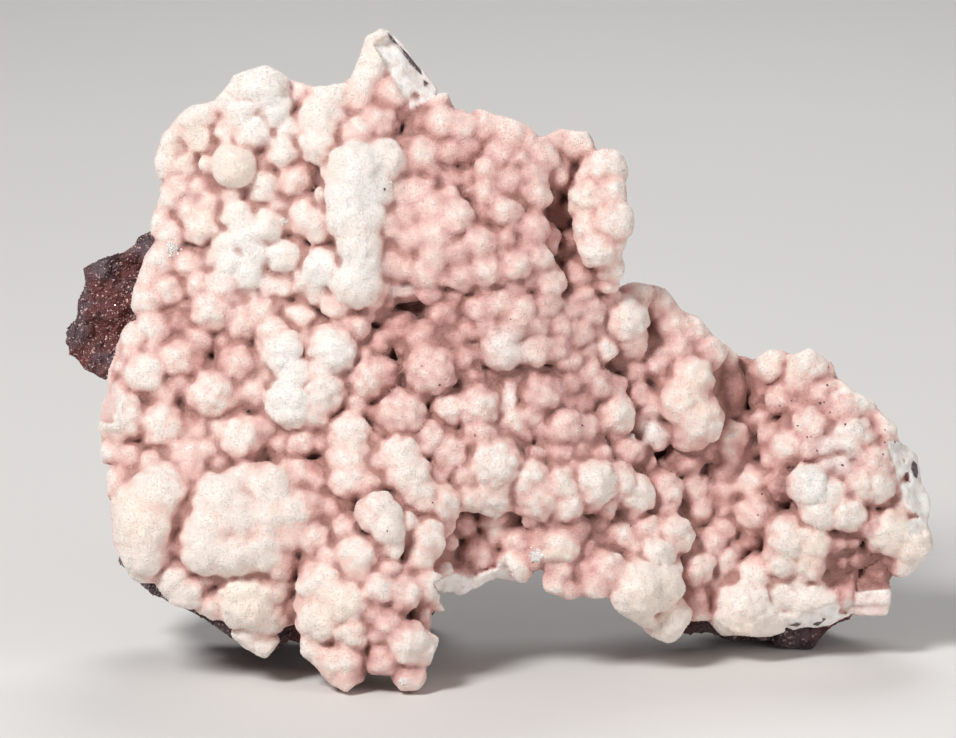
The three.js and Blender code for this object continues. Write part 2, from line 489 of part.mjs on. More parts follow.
// Everything inside an outline of the face.
function outlineBlock(outline) {
  const shape = new THREE.Shape(outline.map(([x, v]) => new THREE.Vector2(x, v)));
  const block = new THREE.ExtrudeGeometry(shape, { depth: 2 * FAR, bevelEnabled: false });
  return closed(block.translate(0, 0, -FAR));
}

// A slab of rock with bevelled, broken edges, from an outline and its front and back.
function rockSlab({ outline, front, back, bevel }, random) {
  const shape = new THREE.Shape(outline.map(([x, v]) => new THREE.Vector2(x, v)));
  const slab = new THREE.ExtrudeGeometry(shape, {
    depth: front - back - bevel,
    steps: 2,
    bevelThickness: bevel,
    bevelSize: bevel,
    bevelOffset: -bevel,
    bevelSegments: 1,
  });
  slab.translate(0, 0, back + bevel);
  return roughen(closed(slab), ROCK_ROUGHNESS, random);
}

// An angular lump of rock with flat broken faces.
function rockChunk({ x, v, d, across, along, deep }, random) {
  const points = [];
  for (let corner = 0; corner < CHUNK_CORNERS; corner += 1) {
    const reach = THREE.MathUtils.lerp(CHUNK_REACH, 1, random());
    const polar = Math.acos(1 - 2 * random());
    const point = new THREE.Vector3().setFromSphericalCoords(reach, polar, 2 * Math.PI * random());
    points.push(point.multiply(new THREE.Vector3(across, along, deep)).add(new THREE.Vector3(x, v, d)));
  }
  return closed(new ConvexGeometry(points));
}

// ---- From the face to the standing specimen ----
const STAND = new THREE.Matrix4()
  .makeTranslation(SHIFT)
  .multiply(new THREE.Matrix4().makeRotationX(Math.PI / 2 - LEAN));

const wasm = await Module();
wasm.setup();

function solid(geometry, placement = STAND) {
  geometry.applyMatrix4(placement);
  return new wasm.Manifold(new wasm.Mesh({
    numProp: 3,
    vertProperties: Float32Array.from(geometry.getAttribute('position').array),
    triVerts: Uint32Array.from(geometry.getIndex().array),
  }));
}

function piece(name, shape, material) {
  const { vertProperties, triVerts } = shape.getMesh();
  const geometry = new THREE.BufferGeometry();
  geometry.setAttribute('position', new THREE.BufferAttribute(vertProperties, 3));
  geometry.setIndex(new THREE.BufferAttribute(triVerts, 1));
  const mesh = new THREE.Mesh(geometry, material);
  mesh.name = name;
  return mesh;
}

const random = stream(ROCK_SEED);
const floor = closed(new THREE.BoxGeometry(2 * FAR, 2 * FAR, FAR)).translate(0, 0, -FAR / 2);
const underFloor = solid(floor, new THREE.Matrix4());

const crust = solid(crustBlock(growLumps()))
  .intersect(solid(outlineBlock(OUTLINE)))
  .intersect(solid(frontBlock(0)))
  .subtract(underFloor);

const rock = CHUNKS
  .reduce((whole, chunk) => whole.add(solid(rockChunk(chunk, random))), solid(rockSlab(ROCK_BODY, random)))
  .add(solid(rockSlab(EAR, random)))
  .subtract(solid(frontBlock(GAP)))
  .subtract(underFloor);

const calcite = new THREE.MeshStandardMaterial({ color: 0xdcb5ab, roughness: 0.75, metalness: 0 });
const darkRock = new THREE.MeshStandardMaterial({ color: 0x44292b, roughness: 0.6, metalness: 0 });

const specimen = new THREE.Group();
specimen.name = 'calcite_on_matrix';
specimen.add(piece('calcite_crust', crust, calcite));
specimen.add(piece('matrix', rock, darkRock));

export default specimen;
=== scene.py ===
"""Calcite on matrix: round lumps of pale pink calcite, crowded and fused into one crust over a plate of
dark, glittering rock.

The crust and the rock's front are laid out on the specimen's face, a plane that leans back: x runs
across it, v up it and d out of it, towards the front, all in millimetres. to_world() stands the face up
over the frame's origin, in metres. The crust is shaped as a field of distances on a grid over the face,
and skinned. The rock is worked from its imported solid. Geometry Nodes grow the druse over the crust and
the glitter over the rock.
"""

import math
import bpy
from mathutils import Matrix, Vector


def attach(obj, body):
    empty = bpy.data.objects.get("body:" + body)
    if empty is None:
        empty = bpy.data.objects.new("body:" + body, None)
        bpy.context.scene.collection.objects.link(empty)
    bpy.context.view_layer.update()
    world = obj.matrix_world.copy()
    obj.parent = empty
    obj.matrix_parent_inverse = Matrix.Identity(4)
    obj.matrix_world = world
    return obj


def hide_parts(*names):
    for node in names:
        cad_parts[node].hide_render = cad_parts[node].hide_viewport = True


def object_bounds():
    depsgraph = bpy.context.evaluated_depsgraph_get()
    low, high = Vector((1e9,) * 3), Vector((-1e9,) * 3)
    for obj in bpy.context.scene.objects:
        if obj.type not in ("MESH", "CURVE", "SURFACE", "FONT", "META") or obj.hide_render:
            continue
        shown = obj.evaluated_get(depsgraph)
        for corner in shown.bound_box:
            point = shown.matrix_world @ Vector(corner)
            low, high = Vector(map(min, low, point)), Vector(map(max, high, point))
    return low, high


bl_info = {
    "name": "Calcite on Matrix",
    "version": (1, 0, 0),
    "blender": (4, 5, 0),
    "location": "View3D > Sidebar > Specimen",
    "description": "Builds a crust of round calcite lumps on dark rock, with its druse and a plain studio",
    "category": "Add Mesh",
}

import bmesh
import bpy
import numpy as np
from bpy.props import FloatProperty, FloatVectorProperty, IntProperty, PointerProperty
from mathutils import Vector
from mathutils.bvhtree import BVHTree

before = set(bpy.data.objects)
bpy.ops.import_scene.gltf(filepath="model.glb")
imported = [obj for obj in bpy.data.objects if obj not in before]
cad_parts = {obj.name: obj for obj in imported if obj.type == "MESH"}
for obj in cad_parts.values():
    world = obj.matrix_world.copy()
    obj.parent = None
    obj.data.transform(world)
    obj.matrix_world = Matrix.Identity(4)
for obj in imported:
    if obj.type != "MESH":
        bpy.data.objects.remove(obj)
CAD_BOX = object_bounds()

MM = 0.001
TINY = 1e-6

# ---- Where the face stands, and how far the crust's field reaches, in mm ----
LEAN = math.radians(12)
SHIFT = (0.4, -30.4, -0.6)
FIELD_LOW = (-77.0, -3.0, -42.0)
FIELD_HIGH = (83.0, 125.0, 16.0)

# The crust's outline, (x, v), clockwise from the lower left.
OUTLINE = [
    # left side, a straight broken edge above v = 45
    (-70.5, 29), (-71.6, 36), (-72.6, 45), (-73.5, 50.5), (-72.2, 55), (-71.8, 59), (-70.3, 63.5),
    (-67.6, 69), (-66.6, 74.5), (-64.2, 81), (-63.6, 86), (-61.7, 91), (-62.9, 97.5),
    # the shoulder, the crown and the small ridge
    (-61, 102.3), (-56.3, 107.3), (-51.8, 108), (-48.3, 112.8), (-43, 114.2), (-39.2, 112),
    (-34, 110.8), (-29, 110.8),
    # the peak, with its slanting broken facet
    (-26.8, 112.5), (-24.3, 120), (-21.4, 121.8), (-15.2, 115.8), (-10.6, 110.2),
    # down the top right side, past the fin's two notches
    (-6.5, 107.2), (-1, 105.4), (4.5, 103.6), (7, 101), (10.8, 103), (15.8, 102.2), (17.4, 98.4),
    (18.8, 99.3), (20.7, 99.3), (22.3, 97.9), (23.1, 95.2), (22.5, 92), (23.2, 88.9), (24, 86),
    (23.4, 82.9), (21.8, 81), (22.5, 78), (22.2, 76.2), (23.5, 75), (27.5, 74.8),
    # the long slope to the right-hand end
    (30.2, 73.5), (33, 70), (37, 68.3), (40.5, 64.2), (43.5, 62), (46.9, 60.8), (50.5, 62.4),
    (54, 61.4), (57, 62.7), (61, 60.2), (61.7, 57.4), (65.5, 55), (69, 53), (70.5, 50.3), (73, 48.8),
    (73.7, 46.2), (77.3, 43.2), (78.2, 38.5), (79.7, 34.5), (78.9, 30.5), (79.8, 26.5), (77, 23.6),
    (73.5, 20.2), (72.4, 18.6),
    # the flat chip at the lower right and the broken lower edge
    (72.3, 15.6), (71.6, 13.9), (66.2, 13.9), (61, 11.8), (54, 11.2), (50.5, 10.4), (41, 10.4),
    (38.8, 12.8), (34.8, 12.6), (33, 10.5), (30.8, 9.4), (28, 10.2), (25.3, 12.8), (21.4, 15.5),
    # the arch between the feet
    (20.3, 17.6), (12, 17.2), (8.8, 18.8), (7, 22.2), (4.8, 20.3), (2.4, 20.2), (-0.5, 20.9),
    (-4, 19.2), (-10, 16.2),
    # the left foot
    (-11.2, 13), (-12.3, 8.5), (-13, 4), (-15, 1.3), (-18, 1.2), (-19.5, 2.6), (-25, 2.8), (-28, 0.7),
    (-30.2, 2), (-36, 7.6), (-36.2, 11.5),
    # the lower left edge
    (-39.5, 10.5), (-43, 6.8), (-46.5, 8.4), (-50.5, 12.2), (-54, 14), (-57, 16), (-60.5, 16.8),
    (-62.5, 20.4), (-66.5, 20.8), (-69, 25),
]

# Broad relief: soft hills of (x, v, height, across, along). The first group is the rock's too.
BASE_DEPTH = -7
BROAD_HILLS = {
    "left foot": (-22, 14, 9, 13, 26),
    "lower left swell": (-54, 30, 5, 20, 17),
    "upper mound": (0, 82, 7, 15, 18),
    "right end": (62, 42, 6, 15, 17),
    "niche": (-3, 28, -7, 8, 9),
    "swell by the arch": (26, 20, 4, 10, 9),
}
NARROW_HILLS = {
    "column": (-27, 88, 3, 6, 15),
    "fin": (20, 87, 8, 4, 13),
    "slot": (10.5, 86, -5, 3.5, 9),
    "pale rib": (36, 54, 5, 6, 11),
    "hollow": (44, 55, -5, 5, 8),
}
RIGHT_FALL = (2, 46, 16.5)                   # from x, to x, how far the right half lies back
CRUST_THICKNESS = 7

# The lumps. Each cluster has its height over the relief, its tone from 0, deep rose, to 1, white, how
# softly its lumps fuse, against the usual 1, and its lumps as (x, v, radius), with a fourth number where a
# lump has a tone of its own.
CLUSTERS = {
    "crown": (2, 0.78, 1.0, [
        (-47.5, 111.3, 3), (-43, 110.8, 3.8), (-50, 108.3, 2.4), (-46.8, 106, 3.2), (-45, 102.5, 3.4),
        (-41, 106.5, 3.2), (-38.3, 103.2, 2.6), (-39.9, 98.9, 2.9), (-49.5, 103, 2.2),
    ]),
    "crown_ball": (3.6, 0.78, 0.8, [(-48.5, 96.3, 3.6)]),
    "shoulder": (0, 0.55, 1.0, [
        (-55.6, 105.1, 3.3, 0.75), (-54.8, 101.6, 3.2, 0.8), (-53, 106.3, 2.2), (-58.8, 103, 2),
        (-61, 100.2, 2.6), (-61, 97, 2.4), (-57.5, 96.5, 2.6), (-60.3, 90.5, 2.4), (-58.5, 92.8, 2.4),
        (-54.5, 92.5, 2.6), (-52.5, 89.5, 2.8), (-56.5, 88.5, 2.8), (-54, 85.5, 3.2), (-62, 86, 2),
        (-60, 83.5, 2.4),
    ]),
    "ridge": (1.2, 0.74, 1.1, [
        (-36.8, 109.6, 2.2, 0.5), (-31, 108.2, 3.4), (-32.4, 105, 3.7), (-29.3, 104.5, 2.4),
        (-32.6, 100.6, 4), (-37.5, 93.5, 3.1, 0.45), (-43.5, 92.8, 3),
    ]),
    "peak": (0.5, 0.7, 1.5, [
        (-22.2, 118.7, 2.8), (-23.2, 115.4, 3), (-24.4, 112.4, 2.8), (-25.3, 109.8, 2.4),
        (-26, 107.6, 2.4), (-20.1, 109.4, 2.8, 0.4), (-17.4, 112.6, 2.2, 0.5), (-18.8, 115.4, 2.2, 0.6),
    ]),
    "dome": (1, 0.42, 1.0, [(-22.5, 103.6, 3.6), (-26, 102, 3)]),
    "column": (3, 0.92, 1.4, [
        (-26, 95.3, 4.6), (-21.2, 97, 3.6, 0.85), (-27.4, 90.4, 3.6), (-23.6, 91.6, 3.4, 0.85),
        (-27, 86.4, 3.8), (-24.4, 86.6, 3, 0.8), (-25.6, 82, 3.4), (-25.2, 78.4, 3), (-26.3, 74.8, 3.7),
    ]),
    "pale_knot": (2, 0.88, 1.1, [
        (-48, 87.5, 2.6), (-46.5, 84, 3), (-49.5, 82, 2.2), (-49, 78.5, 2.6), (-46, 76.5, 2.4),
        (-42.7, 85.5, 3), (-39.5, 80, 2.8), (-45, 80.6, 2.6),
    ]),
    "inner_pale": (1, 0.72, 0.9, [
        # The first two lumps' lower tone is partly painted shade, for the shadow over part of them, and
        # partly their greyer calcite.
        (-34.8, 87, 3.5, 0.55), (-32.2, 85.6, 3, 0.55), (-31.7, 77.8, 3.8), (-35.2, 75.8, 2.9),
        (-32.5, 73.6, 2.6),
        (-42, 75, 2.5), (-39.5, 74.6, 2.3),
    ]),
    "left_flank": (0.5, 0.56, 1.15, [
        (-57, 78.5, 2.4), (-62, 79, 2.6), (-63.6, 76, 2.2), (-60.8, 73.8, 2.6), (-64.4, 72, 2.6),
        (-54.8, 74.8, 2.6), (-51, 74.5, 3), (-52.7, 70, 3.4), (-49, 72.4, 2.4), (-58.5, 67.5, 2.4, 0.4),
        (-63.3, 66.5, 2.8, 0.62), (-66.6, 65.2, 2.2), (-55.5, 64.2, 2.4, 0.4), (-47, 68, 3.4, 0.5),
        (-43.8, 69, 3.4, 0.5), (-41.5, 65.8, 2.4), (-36.4, 68, 2.9, 0.68),
    ]),
    "left_face": (1, 0.53, 1.1, [
        (-64.5, 58.3, 3.6, 0.64), (-59.2, 61, 3.3, 0.5), (-69.4, 50.5, 3.9), (-61.5, 54, 2.4, 0.5),
        (-52.5, 54.5, 4.2), (-48.3, 54.5, 2.5), (-61.5, 48.6, 3.9), (-56, 48, 2.6),
        (-50.8, 47.6, 2.4, 0.78), (-47.3, 46.6, 3.8), (-57.5, 43.5, 3.2), (-54, 44, 2.6),
        (-70.6, 44.5, 2.3), (-67.3, 43, 2.4), (-69.4, 38.5, 2.6, 0.45), (-56.5, 40, 2.6, 0.35),
        (-48, 60, 3.4, 0.38), (-63.3, 41.5, 2.4),
    ]),
    "pale_pair": (3.5, 0.88, 0.9, [
        (-39.6, 62.3, 3.2), (-30.6, 62.6, 3.9, 0.62), (-37.5, 58.5, 3.2), (-38.3, 53, 4.2),
        (-32.6, 55, 3.6, 0.66), (-34, 51, 2.6, 0.6), (-33, 58.5, 3, 0.66),
    ]),
    "below_pair": (0, 0.42, 1.0, [
        (-36.5, 46.3, 2.6), (-40.5, 46.3, 2.2), (-43.3, 48.6, 2.4), (-32, 46, 2.2), (-40, 43, 1.9),
        (-37.5, 39.8, 2.9, 0.5), (-33.5, 38.8, 3.4), (-35, 34, 2.6, 0.3),
    ]),
    "rib": (2, 0.6, 1.1, [
        (-27.5, 47.2, 3.4), (-27.5, 42.8, 3.6), (-27.2, 39, 3.2), (-26.5, 52.8, 2.2),
        (-24, 38, 2.4, 0.4),
    ]),
    "balls": (2, 0.46, 0.8, [
        (-24.5, 57.5, 3.6, 0.44), (-21.6, 58.3, 2.6), (-17.8, 51, 3.9, 0.32), (-12.8, 59, 4.1, 0.3),
        (-18.5, 43.4, 3.5, 0.64), (-21, 42, 2.8), (-17, 39.8, 3.6, 0.66), (-13, 46.3, 2.9),
        (-9.5, 43.9, 3.2), (-8.8, 52.4, 3, 0.65), (-4.5, 52.5, 3.6), (-4, 47.8, 3.1, 0.35),
    ]),
    "middle_band": (0, 0.32, 1.2, [
        (-18.5, 66.5, 3, 0.26), (-13.8, 65, 2.8), (-22.3, 63.8, 2.2), (-10, 69.3, 2.9),
        (-26.5, 67, 2.2),
    ]),
    "column_flank": (2, 0.46, 1.7, [
        (-17.3, 78.3, 2.3), (-20.5, 79, 2.4), (-13.3, 77, 2.4), (-17, 83, 2.4), (-14.3, 83.5, 2.4),
        (-11, 84, 3), (-20.5, 85.3, 2.5), (-15, 91.3, 2.6), (-18.8, 91.5, 2.6), (-14, 98.5, 2.7),
        (-10.6, 104, 2.4), (-16.5, 87.5, 2.6), (-12, 88, 2.6), (-11.5, 80.4, 2.6),
    ]),
    "mound": (0, 0.38, 1.05, [
        (-7, 103, 2.4), (-2.5, 103.2, 2.8), (1.5, 102, 3), (4.5, 100.6, 2.6), (-6, 99.6, 2.3),
        (0, 98.5, 2.5), (7, 98.3, 3), (3.5, 97.4, 2.3), (10, 95.5, 2.8), (5.5, 94.6, 2.5),
        (-2, 95, 2.5), (1.5, 93.4, 2.3), (-9.3, 93.5, 2.2), (6, 91, 2.6), (0.8, 88, 2.5),
        (-2.2, 91, 2.5), (5.5, 85, 2.8), (8, 83, 2.6), (-8, 86.5, 3.1), (-4, 82.3, 3), (-6.7, 77, 2.8),
        (-2.5, 77.8, 2.7), (2.5, 78.3, 2.5), (6.5, 79.3, 2.5), (8.3, 75.2, 3), (8, 71, 2.6),
        (3.5, 70, 2.9), (-0.5, 71.6, 2.5), (-3.6, 70.6, 2.3), (0.4, 63.5, 3.8), (6, 63.3, 3),
        (14.6, 73, 2.4), (-2, 67.4, 2.3), (2.2, 67.2, 2.5), (6, 67.4, 2.5), (10, 67.2, 2.6),
        (13.6, 66.4, 2.6),
        (16.2, 69.6, 2.6), (12.3, 70.4, 2.4), (9.8, 63.6, 2.5),
    ]),
    "top_right": (0, 0.45, 1.2, [(12.8, 100.6, 3), (9.3, 100.2, 2.2), (15.3, 99.6, 2.5)]),
    "fin": (1, 0.49, 0.8, [
        (19.3, 95.6, 3.5), (16.8, 94.4, 2.4), (16.6, 89.8, 3.6), (20.2, 91.2, 2.4), (20.5, 86.2, 3.2),
        (17, 85.2, 3), (17.8, 81.4, 2.9), (20.2, 81.8, 2.2), (20, 78.3, 2.4),
    ]),
    "saddle": (0.5, 0.36, 1.0, [
        (22.5, 68.6, 4, 0.6), (23.8, 64.6, 3), (18.6, 63.3, 2.4, 0.75), (24.5, 72.3, 2.6),
        (28.8, 71.6, 2.8), (31.6, 67.4, 3), (35.4, 65.8, 3, 0.5), (29, 60.4, 2.8), (32.5, 62.4, 3),
        (37.8, 62.4, 3), (12, 61, 2.4), (15.3, 58.9, 2.3), (17.2, 56.8, 2.7), (20.2, 55.8, 2.4),
        (20.8, 51, 3.2, 0.6), (24.4, 59, 2.1), (25.3, 54.5, 2.2), (28.2, 52.4, 2.5, 0.5),
        (28.4, 47.4, 2.6, 0.78), (41.8, 61.5, 2),
    ]),
    "pale_rib": (1, 0.52, 1.2, [(35.5, 57.4, 3.3), (34, 53.5, 3.6), (36.5, 50, 3.8), (35, 47.6, 2.9)]),
    # The hollow's and the slot ball's low tones are partly painted shade: pink lumps darkened for the
    # recesses they sit in.
    "hollow": (-1, 0.16, 1.2, [(41.2, 55.8, 4.2), (41.6, 52.4, 3.2)]),
    "slot_ball": (-1.5, 0.22, 0.8, [(-16.2, 70.2, 2.0)]),
    "heart": (-0.5, 0.33, 1.0, [
        (7.5, 55.5, 3.7), (10.8, 53.6, 2.6), (11.2, 48.8, 3.5), (14.5, 48.5, 3.1), (1.8, 49.7, 3.2, 0.7),
        (3.6, 47, 2.1), (8.2, 46, 1.9, 0.7), (10.5, 43.3, 2.5, 0.35), (14, 44, 2.6), (14.4, 53.2, 2),
        (1.4, 54.3, 1.9, 0.9), (22.8, 44, 2.9), (18.2, 43.2, 2.2), (25, 43.8, 2), (-5.2, 57.4, 2.6),
    ]),
    "arch_brow": (2, 0.58, 0.9, [
        (-1, 41.6, 4.3), (-1.4, 37.6, 4.4), (-6.3, 40.4, 2.8), (-5.8, 36.8, 3), (5, 39.2, 3.2),
        (10.4, 38, 3.3), (7.2, 35.8, 3.4, 0.45), (3.6, 35.2, 2, 0.3), (12, 34.6, 2.8),
        (17, 38.4, 3.6, 0.68), (21.2, 38.6, 3.2), (24.6, 36.4, 3.1, 0.72), (-0.6, 32, 2.4),
        (0.2, 29.6, 2.4), (16, 35.6, 2.2),
    ]),
    "arch_edge": (0, 0.34, 1.0, [
        (-4, 25.4, 3.4), (2.9, 23.2, 2.9, 0.56), (3.4, 27.8, 2.2), (6.6, 25, 1.9), (7.6, 28.4, 2.5),
        (10.9, 26.8, 3.4, 0.52), (13.2, 30.2, 2.4), (11.4, 22.6, 2.4), (10.2, 19.6, 2),
        (15.3, 22.6, 2.2), (17, 30, 2.7, 0.25), (15.6, 26, 2.2), (19.6, 28.3, 2.3),
        (22, 28.8, 2.4, 0.65), (19.8, 22.4, 3.1), (17.4, 19.5, 2.4, 0.35), (12.8, 18.9, 1.8),
    ]),
    "lower_swell": (1, 0.84, 1.0, [
        (25, 18.8, 4.6, 0.72), (28.6, 19.4, 4.1), (28.2, 25, 3.1), (31, 22.3, 2),
        (31.4, 28.6, 3.4, 0.5), (26.4, 29.4, 2.7, 0.5), (30.8, 13.2, 3.8, 0.62), (26.3, 14.4, 2.2),
        (23.6, 16, 2.3),
    ]),
    "lower_middle": (0, 0.4, 0.9, [
        (35.8, 22.6, 3), (35.4, 17, 2.3, 0.32), (36.3, 14.6, 2), (40, 19.2, 2.4, 0.45),
        (41.5, 23.6, 2.9, 0.65), (38.4, 27, 2.7), (41, 29.6, 2.7), (43.8, 26, 2), (46.8, 28, 2),
        (47.6, 32.4, 3.5, 0.25), (47.8, 21.4, 3, 0.6), (30, 37, 3.1), (29.4, 33.6, 2.6),
        (35.6, 37.4, 2.6), (36.2, 33.8, 2.6), (39.2, 36.4, 2), (42.2, 37, 2.5), (41.6, 33.4, 2.2),
        (47, 38, 3.2, 0.6), (48.6, 36.9, 2.2), (42, 46, 3.3, 0.45), (38, 44.6, 2), (42.2, 43, 2.6),
        (34, 42.4, 2.8, 0.3), (41.2, 40.4, 2.5, 0.28), (45.8, 48.6, 2.4), (48.8, 50, 2),
    ]),
    "lower_pale": (1, 1.0, 0.8, [
        (45.2, 14.9, 5), (42, 13.6, 2.9), (49.6, 13.4, 3.1), (52, 18, 3.4), (58, 16.2, 4.1),
        (55.2, 19, 2.6), (53.2, 14.2, 2.3),
    ]),
    "tower": (2.5, 0.72, 0.9, [
        (53.2, 28.4, 3.7), (57.3, 27.7, 3.5), (53.4, 30.6, 2.2), (52.2, 24.4, 3.3), (56.6, 23.8, 3.3, 0.55),
    ]),
    "white_pair": (2.5, 0.8, 0.7, [(57, 37.7, 3.6), (58.8, 33, 2.9), (63.9, 32.8, 2.9), (61, 36.4, 2.8)]),
    # The right face's low cluster tone is partly painted shade, darkening its small lumps in the gaps.
    "right_face": (0, 0.12, 0.6, [
        (53.4, 45, 3, 0.62), (50.6, 46.4, 2.5), (51.4, 42.4, 2.7, 0.3), (57.4, 48.6, 3.3, 0.4),
        (57, 44.6, 2.8, 0.38), (60.6, 45, 2.7, 0.42), (56, 52, 2.4), (52.8, 54, 2.9, 0.25),
        (48.4, 53.6, 2), (59.6, 54, 3.1, 0.4), (64.6, 47, 3.8, 0.6), (63.2, 51.6, 3.2),
        (65.4, 44.2, 2.6), (68, 42, 3.6, 0.4), (66, 38.4, 3.4, 0.45), (69, 38, 3.2, 0.7),
        (62.8, 41, 2.1), (52, 38, 2.6, 0.12), (61.8, 27.6, 2), (62, 24.2, 2), (65, 24.6, 2),
        (64, 21, 2.1), (63.4, 18, 2.2), (69.5, 21.6, 2.1), (67.6, 31, 2.3),
    ]),
    # The right crest's low cluster tone is partly painted shade, darkening the gaps between its lumps.
    "right_crest": (0, 0.25, 0.65, [
        (50.5, 59.8, 3, 0.45), (48.6, 58, 2.7), (49.4, 55.8, 2.3), (57, 59.8, 3.4, 0.5),
        (56, 57.2, 3.2, 0.5), (58.6, 57.8, 2.7), (60, 58.6, 2.3), (53.4, 58.4, 2.1),
        (66.2, 52.4, 2.8, 0.7), (63, 54.4, 2.4, 0.75), (70.3, 48.6, 2.7, 0.45), (71.4, 44.6, 2.7, 0.3),
        (67.8, 49.6, 2.2),
    ]),
    "right_tip": (0.5, 0.66, 1.0, [
        (71.5, 29.4, 3.7), (75.8, 27.4, 3.6), (77.4, 26.4, 2.3), (74.8, 23.9, 2.4, 0.65),
        (72.8, 36.8, 2.2), (75.4, 35.2, 2.4), (72.5, 33.2, 2.1),
    ]),
    "left_swell": (2, 0.66, 1.4, [
        (-62, 36.6, 4.6), (-66, 34.2, 3.8), (-65, 30.8, 4.9), (-64.8, 26.6, 4.1),
        (-65.4, 23, 2.3, 0.55),
    ]),
    "knobbed_swell": (1.7, 0.76, 1.5, [
        (-51.3, 35.3, 4.3), (-46.4, 38.4, 3.2), (-42.6, 37, 4.1), (-48, 32.4, 4.3, 0.7), (-38.8, 33, 3.8),
        (-52.8, 30.6, 3.7, 0.68), (-53.6, 26.8, 4.1), (-48.6, 26.4, 4), (-43.4, 27, 4.1, 0.7),
        (-43.4, 31.8, 4.1, 0.68), (-39, 29.2, 3, 0.6), (-36, 29.4, 2.5, 0.5),
    ]),
    "lower_left": (1, 0.68, 1.0, [
        (-59, 21.4, 3.3), (-57, 19.2, 3.2), (-52.3, 16.6, 2.4, 0.5), (-46, 17.6, 5, 0.78),
        (-42.4, 14.6, 3.1), (-42, 19, 3.2), (-40.5, 24, 3.1, 0.4), (-39.6, 20, 2.5),
        (-45.6, 11, 2.6, 0.75), (-43, 9, 2.2), (-59.3, 27.4, 2, 0.35),
    ]),
    "foot": (1.5, 0.52, 1.0, [
        (-34, 28.2, 2.9), (-33.5, 23.5, 2.5), (-30.5, 24.4, 2.7), (-32, 20, 4, 0.62),
        (-28, 17, 4, 0.68), (-34, 16.4, 2.8, 0.3), (-31.5, 14.4, 4.4, 0.7), (-34.6, 13, 2.2),
        (-33.4, 8.9, 2.6, 0.66), (-31.3, 7, 2.5), (-28.4, 6.2, 3.2), (-28, 2.8, 2.5, 0.2),
        (-27, 11.4, 2.8), (-26, 25, 3.5, 0.6), (-26.2, 22.6, 2.6), (-27.8, 30, 2.5),
        (-22.4, 33.2, 3.1), (-14, 28.4, 3.2, 0.5), (-15, 24.5, 2.5, 0.48), (-22.4, 19.4, 2.6, 0.5),
        (-18, 18.4, 2.9, 0.5), (-13.4, 19.8, 2.7), (-20.5, 13.4, 2.3), (-17, 9.4, 3.5, 0.55),
        (-14.8, 8.2, 2.8), (-21.3, 6.5, 2.6, 0.6), (-16.6, 3, 2.5, 0.25), (-15.4, 36.4, 3.5),
        (-11.2, 34.8, 3.4), (-11.6, 31, 2.6),
    ]),
    "white_ball": (4.5, 0.95, 0.9, [(-20.4, 32.3, 2.5), (-20.3, 30.2, 2.6)]),
}

# The clusters whose lumps are smooth, without knobs.
SMOOTH_CLUSTERS = ("crown_ball", "white_ball", "hollow", "slot_ball")
# What the columns of a table of lumps hold.
RADIUS, LIFT, TONE, SOFTNESS, KNOBBLY = range(2, 7)
# Dark hollows between the lumps, (x, v, radius).
PITS = [
    (-58, 72, 1.5), (-64.5, 61.8, 1.3), (-53, 60.8, 1.2), (-45, 56, 1.7), (-44, 43.8, 1.4),
    (-33, 42.2, 1.6), (-36.7, 35.9, 1.3), (-23.6, 49.4, 1.9), (-57.3, 30, 2), (-36.6, 23, 2.6),
    (-63, 21.6, 1.5), (-49, 13.6, 2), (-18.6, 25.6, 1.9), (-17.4, 15, 2.2), (-8.6, 24.6, 2.5),
    (4.4, 31.8, 1.6), (2, 36, 1.2), (4.6, 45.4, 1.6), (-8, 49, 1.5),
    (-18.4, 61.4, 2.2), (-16.5, 70.7, 2.8), (-15.4, 104.8, 2.3), (29.6, 43.6, 3), (47, 53, 1.6),
    (46.6, 56, 1.2),
    (48.6, 26, 2.4), (48.6, 43.6, 1.8), (53.6, 33.4, 2.1), (38.4, 16.8, 1.5), (14.6, 33.2, 1.6),
    (66.4, 28, 2), (71.2, 21.8, 1.5), (-24.4, 5, 1.6), (53.8, 56.4, 1.4), (-28.5, 53, 1.2),
    (-31, 50.5, 1.2), (-62.3, 43.8, 1.2), (20.5, 58.6, 1.2), (12.5, 51.5, 1.2), (23.4, 53.5, 1.3),
    (37.5, 31.5, 1.4), (33, 20.5, 1.4), (62.5, 37.5, 1.2),
    (-5.5, 43.7, 1.2), (54, 56.5, 1.2), (-23, 12, 1.2), (11.5, 86, 1.8), (31, 64, 1.4),
    (-66, 67, 1.3),
]

# Soft hollows between the lumps, (x, v, radius). They sink the relief, and their tone is darkened as painted
# shade.
HOLLOWS = [
    (-6, 29, 4), (43.5, 55, 5), (-17.5, 14.5, 3.5), (52.5, 37, 4), (53.5, 32.5, 3), (49, 27, 3.5),
    (-16.5, 104, 4), (-17, 69.5, 4.5), (-10.5, 67, 3), (-36.6, 23, 3), (17, 30, 4), (30, 43.6, 5),
    (10, 86, 4), (-2, 58.5, 3), (3.5, 58, 3), (9, 58.3, 2.5), (-57, 51, 2.5), (38, 43, 4),
    (70, 22, 3.5), (-27, 34, 3), (61, 22, 4), (-18.5, 60, 3), (-8, 57, 3), (-60, 68, 3),
    (-44, 43, 3), (-33, 42, 2.5), (4, 45, 2.5), (21, 58.5, 3), (46, 45, 3), (38, 17, 2.5),
    (73.5, 38, 2.5), (-22.5, 5, 4), (-52, 61, 3),
]
# Patches of the crust, (x, v, radius), where the calcite is cool grey-white.
COOL_PATCHES = [
    (-26, 92, 7), (-26, 78, 5), (-46, 80, 7), (-33, 77, 4), (-38, 54, 4.5), (-30.5, 62, 4), (-39, 61, 3.5),
    (1.4, 63, 4), (28.4, 47.4, 2.6), (-43, 107, 6), (62, 44, 4), (57.3, 37.4, 4),
]

